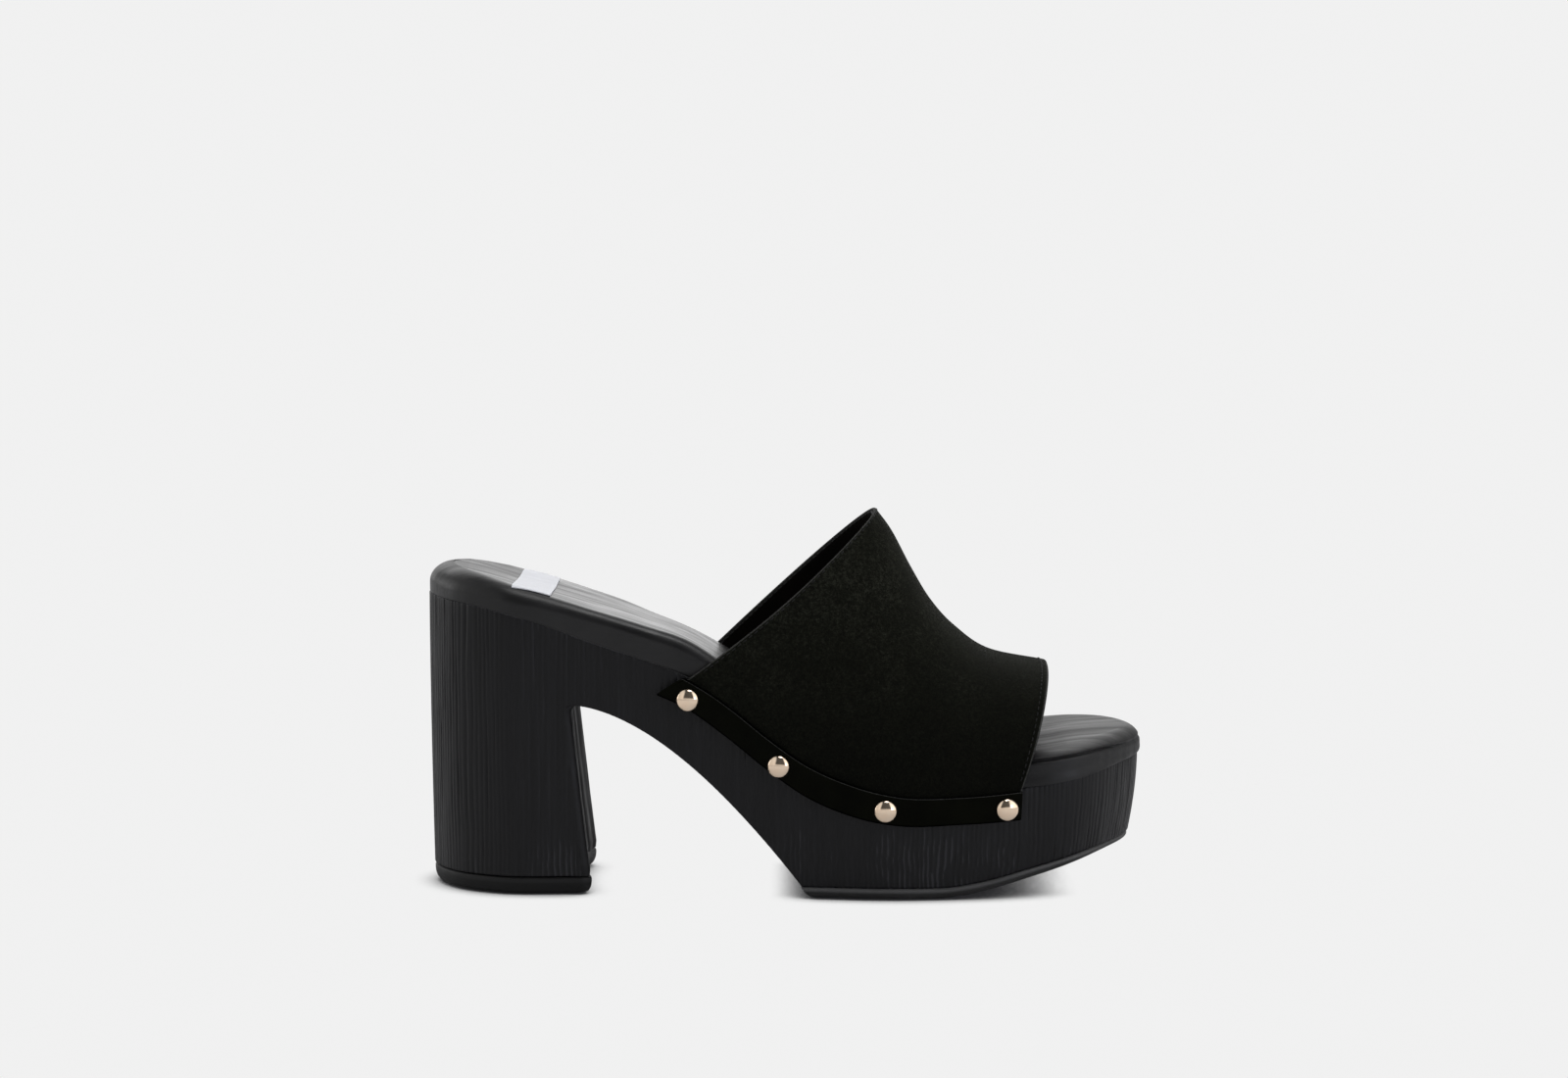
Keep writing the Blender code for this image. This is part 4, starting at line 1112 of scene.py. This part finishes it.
def make_stitching(look):
    """Rows of stitches beside the collar and the toe mouth, outside and on the lining."""
    vs = np.linspace(-STITCHED_TO_V, STITCHED_TO_V, 500)
    for name, edge_u, inwards in (("collar_stitching", 0.0, COLLAR_STITCH_IN),
                                  ("mouth_stitching", 1.0, -MOUTH_STITCH_IN)):
        body = Body()
        for out, outwards in ((VAMP_THICKNESS, 1), (LINING_INSIDE, -1)):
            points, normals = stitch_run(edge_u, inwards, out, vs)
            add_stitches(body, points, normals, outwards)
        settle(body.make(name, [look], sharp=80.0), "suede")


# ---- materials
class Weave:
    """Short ways to add the nodes of a procedural surface."""

    def __init__(self, tree, scale=(1.0, 1.0, 1.0), space="Object"):
        self.tree = tree
        coordinates = self.node("TexCoord").outputs[space]
        self.vector = self.node("Mapping", Vector=coordinates, Scale=scale).outputs["Vector"]

    def put(self, socket, source):
        """Links a socket, or sets its plain value."""
        if isinstance(source, bpy.types.NodeSocket):
            self.tree.links.new(source, socket)
        else:
            socket.default_value = source

    def fill(self, node, **sources):
        for key, source in sources.items():
            self.put(node.inputs[key.replace("_", " ")], source)
        return node

    def node(self, kind, **sources):
        return self.fill(self.tree.nodes.new("ShaderNode" + kind), **sources)

    def noise(self, scale, detail=3.0, roughness=0.6):
        made = self.node("TexNoise", Vector=self.vector, Scale=scale, Detail=detail, Roughness=roughness)
        return made.outputs["Fac"]

    def voronoi(self, scale, feature="F1"):
        made = self.node("TexVoronoi", Vector=self.vector, Scale=scale)
        made.feature = feature
        return made.outputs["Distance"]

    def wave(self, scale, direction):
        made = self.node("TexWave", Vector=self.vector, Scale=scale)
        made.bands_direction = direction
        return made.outputs["Fac"]

    def attribute(self, name):
        made = self.node("Attribute")
        made.attribute_name = name
        return made.outputs["Fac"]

    def axis(self, name):
        return self.node("SeparateXYZ", Vector=self.vector).outputs[name]

    def spread(self, source, low, high, to_low, to_high):
        """Maps low to high onto to_low to to_high, level beyond both."""
        made = self.node("MapRange", Value=source, From_Min=low, From_Max=high,
                         To_Min=to_low, To_Max=to_high)
        return made.outputs["Result"]

    def span(self, source, to_low, to_high):
        """Spreads the usual range of a noise."""
        return self.spread(source, 0.3, 0.7, to_low, to_high)

    def math(self, operation, result, *others):
        """Joins sources one after the other."""
        for other in others:
            made = self.node("Math")
            made.operation = operation
            self.put(made.inputs[0], result)
            self.put(made.inputs[1], other)
            result = made.outputs["Value"]
        return result

    def add(self, *sources):
        return self.math("ADD", *sources)

    def times(self, *sources):
        return self.math("MULTIPLY", *sources)

    def colours(self, source, *stops):
        made = self.node("ValToRGB", Fac=source)
        ramp = made.color_ramp
        while len(ramp.elements) < len(stops):
            ramp.elements.new(0.5)
        for element, (place, colour) in zip(ramp.elements, stops):
            element.position = place
            element.color = (*colour, 1.0)
        return made.outputs["Color"]

    def bump(self, source, distance, strength, **onto):
        """A bump of that height in millimetres; Normal=... lays it onto another bump."""
        made = self.node("Bump", Height=source, Distance=distance * MM, Strength=strength, **onto)
        return made.outputs["Normal"]

    def camera_sees(self, seen, felt, output):
        """The camera sees one shader, and what the light does comes from the other."""
        ray = self.node("LightPath").outputs["Is Camera Ray"]
        choice = self.node("MixShader")
        for socket, source in zip(choice.inputs, (ray, felt.outputs[0], seen.outputs[0])):
            self.put(socket, source)
        self.put(self.tree.nodes[output].inputs["Surface"], choice.outputs[0])


class Surface(Weave):
    """A new material: plain numbers first, on its shader's own sockets, then nodes over them."""

    def __init__(self, name, colour, roughness, specular, scale=(1.0, 1.0, 1.0), **inputs):
        self.material = bpy.data.materials.new(name)
        self.material.use_nodes = True
        super().__init__(self.material.node_tree, scale)
        self.shader = self.tree.nodes["Principled BSDF"]
        self.fill(self.shader, Base_Color=(*colour, 1.0), Roughness=roughness,
                  Specular_IOR_Level=specular, **inputs)

    def finish(self, colour, roughness, normal):
        self.fill(self.shader, Base_Color=colour, Roughness=roughness, Normal=normal)
        return self.material


def platform_material():
    """Moulded plastic: fine upright lines and streaks, paler where the ridges are scuffed and where a
    highlight is painted along the top rim.
    """
    nodes = Surface("moulded_platform", (0.012, 0.012, 0.013), 0.45, 0.25, (900.0, 900.0, 45.0))
    lines = nodes.noise(1.0, 4.0, 0.6)
    streaks = nodes.noise(0.45, 2.0, 0.5)
    # The mark brings the ridges' scuffing and the top rim's painted highlight.
    wear_and_highlight = nodes.times(nodes.attribute("wear_and_highlight"), nodes.spread(lines, 0.3, 0.6, 0.55, 1.0))
    tone = nodes.add(nodes.span(lines, 0.0, 0.5), nodes.spread(streaks, 0.35, 0.7, 0.0, 0.3), wear_and_highlight)
    return nodes.finish(
        nodes.colours(tone, (0.1, (0.0050, 0.0050, 0.0056)), (0.75, (0.0098, 0.0098, 0.0110)),
                      (1.0, (0.027, 0.027, 0.030))),
        nodes.span(lines, 0.36, 0.58),
        nodes.bump(lines, 0.12, 0.8))


def rubber_material(name, dark, light, specular):
    """Matt rubber; its reflectance runs from `dark` at the foot to `light` where the mark paints a
    highlight on the shoulder.
    """
    nodes = Surface(name, (dark,) * 3, 0.5, specular)
    cloud = nodes.noise(90.0)
    # Painted highlight from the mark, with random mottling from the cloud.
    highlight_and_mottle = nodes.add(nodes.spread(nodes.attribute("wear_and_highlight"), 0.0, 1.0, 0.0, 0.8),
                       nodes.spread(cloud, 0.3, 0.75, 0.0, 0.2))
    return nodes.finish(
        nodes.colours(highlight_and_mottle, (0.0, (dark,) * 3), (1.0, (light,) * 3)),
        nodes.span(cloud, 0.4, 0.6),
        nodes.bump(nodes.noise(2600.0), 0.05, 0.5))


def footbed_material():
    """Smooth leather: fine pebbling under long streaks, with a more matt toe."""
    nodes = Surface("footbed_leather", (0.02, 0.02, 0.021), 0.4, 0.4)
    streaks = Weave(nodes.tree, (9.0, 260.0, 110.0)).noise(1.0, 4.0, 0.6)
    pebbles = nodes.add(nodes.voronoi(1500.0, "SMOOTH_F1"), nodes.noise(3200.0, 2.0, 0.5))
    matt = nodes.spread(nodes.axis("X"), 0.06, 0.09, 0.0, 0.16)
    return nodes.finish(
        nodes.colours(nodes.noise(70.0, 3.0, 0.55), (0.3, (0.006, 0.006, 0.0064)),
                      (0.75, (0.012, 0.0117, 0.0122))),
        nodes.add(nodes.span(streaks, 0.28, 0.48), matt),
        nodes.bump(streaks, 0.3, 0.6, Normal=nodes.bump(pebbles, 0.05, 0.35)))


def suede_material():
    """Fine and brushed nap under patches and broad clouds, with painted shade darkening it towards its
    foot.
    """
    nodes = Surface("black_suede", (0.006, 0.006, 0.005), 0.95, 0.06, Sheen_Weight=0.08,
                    Sheen_Roughness=0.5, Sheen_Tint=(0.30, 0.31, 0.25, 1.0))
    nap = nodes.noise(2300.0, 4.0, 0.7)
    brushed = nodes.noise(900.0, 4.0, 0.7)
    fine = nodes.add(nodes.spread(nap, 0.36, 0.64, 0.0, 0.5), nodes.spread(brushed, 0.36, 0.64, 0.0, 0.5))
    tone = nodes.times(fine, nodes.spread(nodes.noise(260.0), 0.35, 0.65, 0.86, 1.1),
                       nodes.spread(nodes.noise(60.0, 2.0, 0.5), 0.35, 0.65, 0.85, 1.12),
                       # Painted shade: the suede darkens lower down, towards its foot.
                       nodes.spread(nodes.axis("Z"), 0.045, 0.095, 0.42, 1.0))
    return nodes.finish(
        nodes.colours(tone, (0.15, (0.0024, 0.0025, 0.0016)), (0.5, (0.0075, 0.0080, 0.0052)),
                      (0.9, (0.023, 0.024, 0.0178))),
        nodes.span(brushed, 0.85, 1.0),
        nodes.bump(nap, 0.3, 1.0, Normal=nodes.bump(brushed, 0.4, 0.6)))


def cut_edge_material(name, light, specular):
    """Raw cut edge; `light` is the reflectance of its palest fibres."""
    nodes = Surface(name, (light / 2,) * 3, 0.9, specular)
    fibre = nodes.noise(1300.0, 4.0, 0.7)
    return nodes.finish(
        nodes.colours(fibre, (0.3, (light / 5, light / 5, light / 6)),
                      (0.7, (light, light, light * 0.95))),
        nodes.span(fibre, 0.75, 1.0),
        nodes.bump(fibre, 0.2, 0.8))


def lining_material():
    nodes = Surface("dark_lining", (0.006, 0.005, 0.004), 0.7, 0.10)
    cloud = nodes.noise(55.0)
    return nodes.finish(
        nodes.colours(cloud, (0.3, (0.0016, 0.0016, 0.0012)), (0.75, (0.0070, 0.0048, 0.0030))),
        nodes.span(cloud, 0.55, 0.8),
        nodes.bump(nodes.voronoi(1400.0), 0.08, 0.5))


def strip_material():
    nodes = Surface("smooth_strip", (0.002, 0.0022, 0.001), 0.22, 0.03)
    pores = nodes.noise(1700.0)
    cloud = nodes.noise(120.0, 2.0, 0.5)
    return nodes.finish(
        nodes.colours(cloud, (0.3, (0.0014, 0.0015, 0.0006)), (0.8, (0.0032, 0.0035, 0.0015))),
        nodes.span(pores, 0.16, 0.3),
        nodes.bump(pores, 0.03, 0.3, Normal=nodes.bump(cloud, 0.2, 0.25)))


def stud_material():
    """Polished pale gold with fine scratches."""
    nodes = Surface("pale_gold", (1.0, 0.79, 0.60), 0.08, 0.5, Metallic=1.0)
    scratches = nodes.noise(900.0, 4.0, 0.7)
    return nodes.finish(
        nodes.colours(nodes.noise(260.0, 2.0, 0.5), (0.3, (1.0, 0.77, 0.57)),
                      (0.75, (1.0, 0.83, 0.65))),
        nodes.span(scratches, 0.05, 0.15),
        nodes.bump(scratches, 0.01, 0.3))


def label_material():
    """White ribbon with a fine weave."""
    nodes = Surface("white_label", (0.94, 0.95, 0.97), 0.6, 0.3)
    threads = nodes.add(nodes.wave(620.0, "X"), nodes.wave(620.0, "Y"))
    cloud = nodes.noise(300.0, 2.0, 0.5)
    return nodes.finish(
        nodes.colours(cloud, (0.3, (0.78, 0.79, 0.83)), (0.75, (0.84, 0.85, 0.89))),
        nodes.span(cloud, 0.5, 0.7),
        nodes.bump(threads, 0.03, 0.4))


def thread_material():
    nodes = Surface("black_thread", (0.01, 0.01, 0.01), 0.6, 0.2)
    twist = nodes.noise(3000.0, 2.0, 0.5)
    return nodes.finish(
        nodes.colours(twist, (0.3, (0.005, 0.005, 0.005)), (0.7, (0.018, 0.018, 0.018))),
        nodes.span(twist, 0.45, 0.7),
        nodes.bump(twist, 0.05, 0.6))


# ---- studio
def make_floor():
    """Large plain pale floor: the camera sees an even glow with soft contact shadows painted in close to
    the object from ambient occlusion; light bounces off its plain face.
    """
    mesh = bpy.data.meshes.new("studio_floor")
    form = bmesh.new()
    bmesh.ops.create_grid(form, x_segments=4, y_segments=4, size=FLOOR_REACH)
    form.to_mesh(mesh)
    form.free()
    floor = add_object("studio_floor", mesh)
    floor.location.z = -FLOOR_BELOW
    nodes = Surface("pale_floor", FLOOR_BOUNCE, 1.0, 0.0)
    # Painted contact shadow: the camera's glow darkens where ambient occlusion finds the object close by.
    near = nodes.node("AmbientOcclusion", Distance=SHADOW_REACH)
    near.samples = 6
    shade = nodes.colours(near.outputs["AO"], *CONTACT_SHADOW)
    shade.node.color_ramp.interpolation = "EASE"
    nodes.camera_sees(nodes.node("Emission", Color=shade), nodes.shader, "Material Output")
    mesh.materials.append(nodes.material)


def make_world():
    """Soft pale surroundings: bright behind, with a glow high behind the middle, a darker corner
    high on the toe's side and a dark gap in front. The camera sees one even tone."""
    world = bpy.data.worlds.new("soft_studio")
    bpy.context.scene.world = world
    world.use_nodes = True
    nodes = Weave(world.node_tree, space="Generated")
    seen = nodes.tree.nodes["Background"]
    seen.inputs["Color"].default_value = (*PALE, 1.0)
    axes = {name: nodes.axis(name) for name in "XYZ"}
    axes["sideways"] = nodes.math("ABSOLUTE", axes["X"], 0.0)
    axes["splayed"] = nodes.add(axes["sideways"], nodes.spread(axes["Z"], 0.0, 1.0, *GAP_SPLAY))

    def part(rows):
        return nodes.times(*(nodes.spread(axes[row.axis], *row[1:]) for row in rows))

    around = nodes.colours(nodes.spread(axes["X"], -1.0, 1.0, 0.0, 1.0), *AROUND_THE_BACK)
    behind = nodes.times(around, part(BEHIND))
    ahead = nodes.times(part(AHEAD), nodes.math("SUBTRACT", 1.0, part(DARK_CORNER)))
    level = nodes.times(nodes.add(ahead, behind, part(REAR_GLOW)), part(OVERHEAD),
                        nodes.math("SUBTRACT", 1.0, part(DARK_GAP)))
    nodes.camera_sees(seen, nodes.node("Background", Strength=level), "World Output")


def aim(thing, place, target):
    """Puts a light or camera in its place, looking at the target."""
    thing.location = place
    thing.rotation_euler = (Vector(target) - Vector(place)).to_track_quat("-Z", "Y").to_euler()


def make_lights():
    for box in SOFTBOXES:
        light = bpy.data.lights.new(box.name, "AREA")
        light.shape = "RECTANGLE"
        light.size = box.width
        light.size_y = box.height
        light.energy = box.power
        light.color = box.colour
        lamp = add_object(box.name, light)
        lamp.visible_camera = False
        aim(lamp, box.location, box.target)


def make_camera():
    """Nearly level view of the lateral side, from a long way off."""
    camera = add_object("camera", bpy.data.cameras.new("camera"))
    aim(camera, CAMERA_PLACE, CAMERA_TARGET)
    camera.data.sensor_width = CAMERA_SENSOR
    camera.data.lens = CAMERA_LENS
    camera.data.clip_start = 0.05
    camera.data.clip_end = 2.0 * FLOOR_REACH
    bpy.context.scene.camera = camera


# ---- whole scene
def main():
    make_platform(platform_material())
    make_heel_top_piece(rubber_material("heel_rubber", 0.005, 0.014, 0.25))
    make_outsole(rubber_material("outsole_rubber", 0.012, 0.11, 0.3))
    make_footbed(footbed_material())
    make_label(label_material())
    make_vamp(suede_material(), lining_material(), cut_edge_material("cut_suede_edge", 0.06, 0.15))
    # The third look paints a highlight on the outer corner of each strip's upper edge.
    looks = [strip_material(), cut_edge_material("cut_strip_edge", 0.001, 0.0),
             cut_edge_material("rubbed_strip_corner", 0.05, 0.05)]
    for side, word in SIDES:
        make_strip(side, word, looks)
    make_studs(stud_material())
    make_stitching(thread_material())
    make_floor()
    make_world()
    make_lights()
    make_camera()
    bpy.context.scene.view_settings.view_transform = "Standard"


main()
bpy.context.view_layer.update()
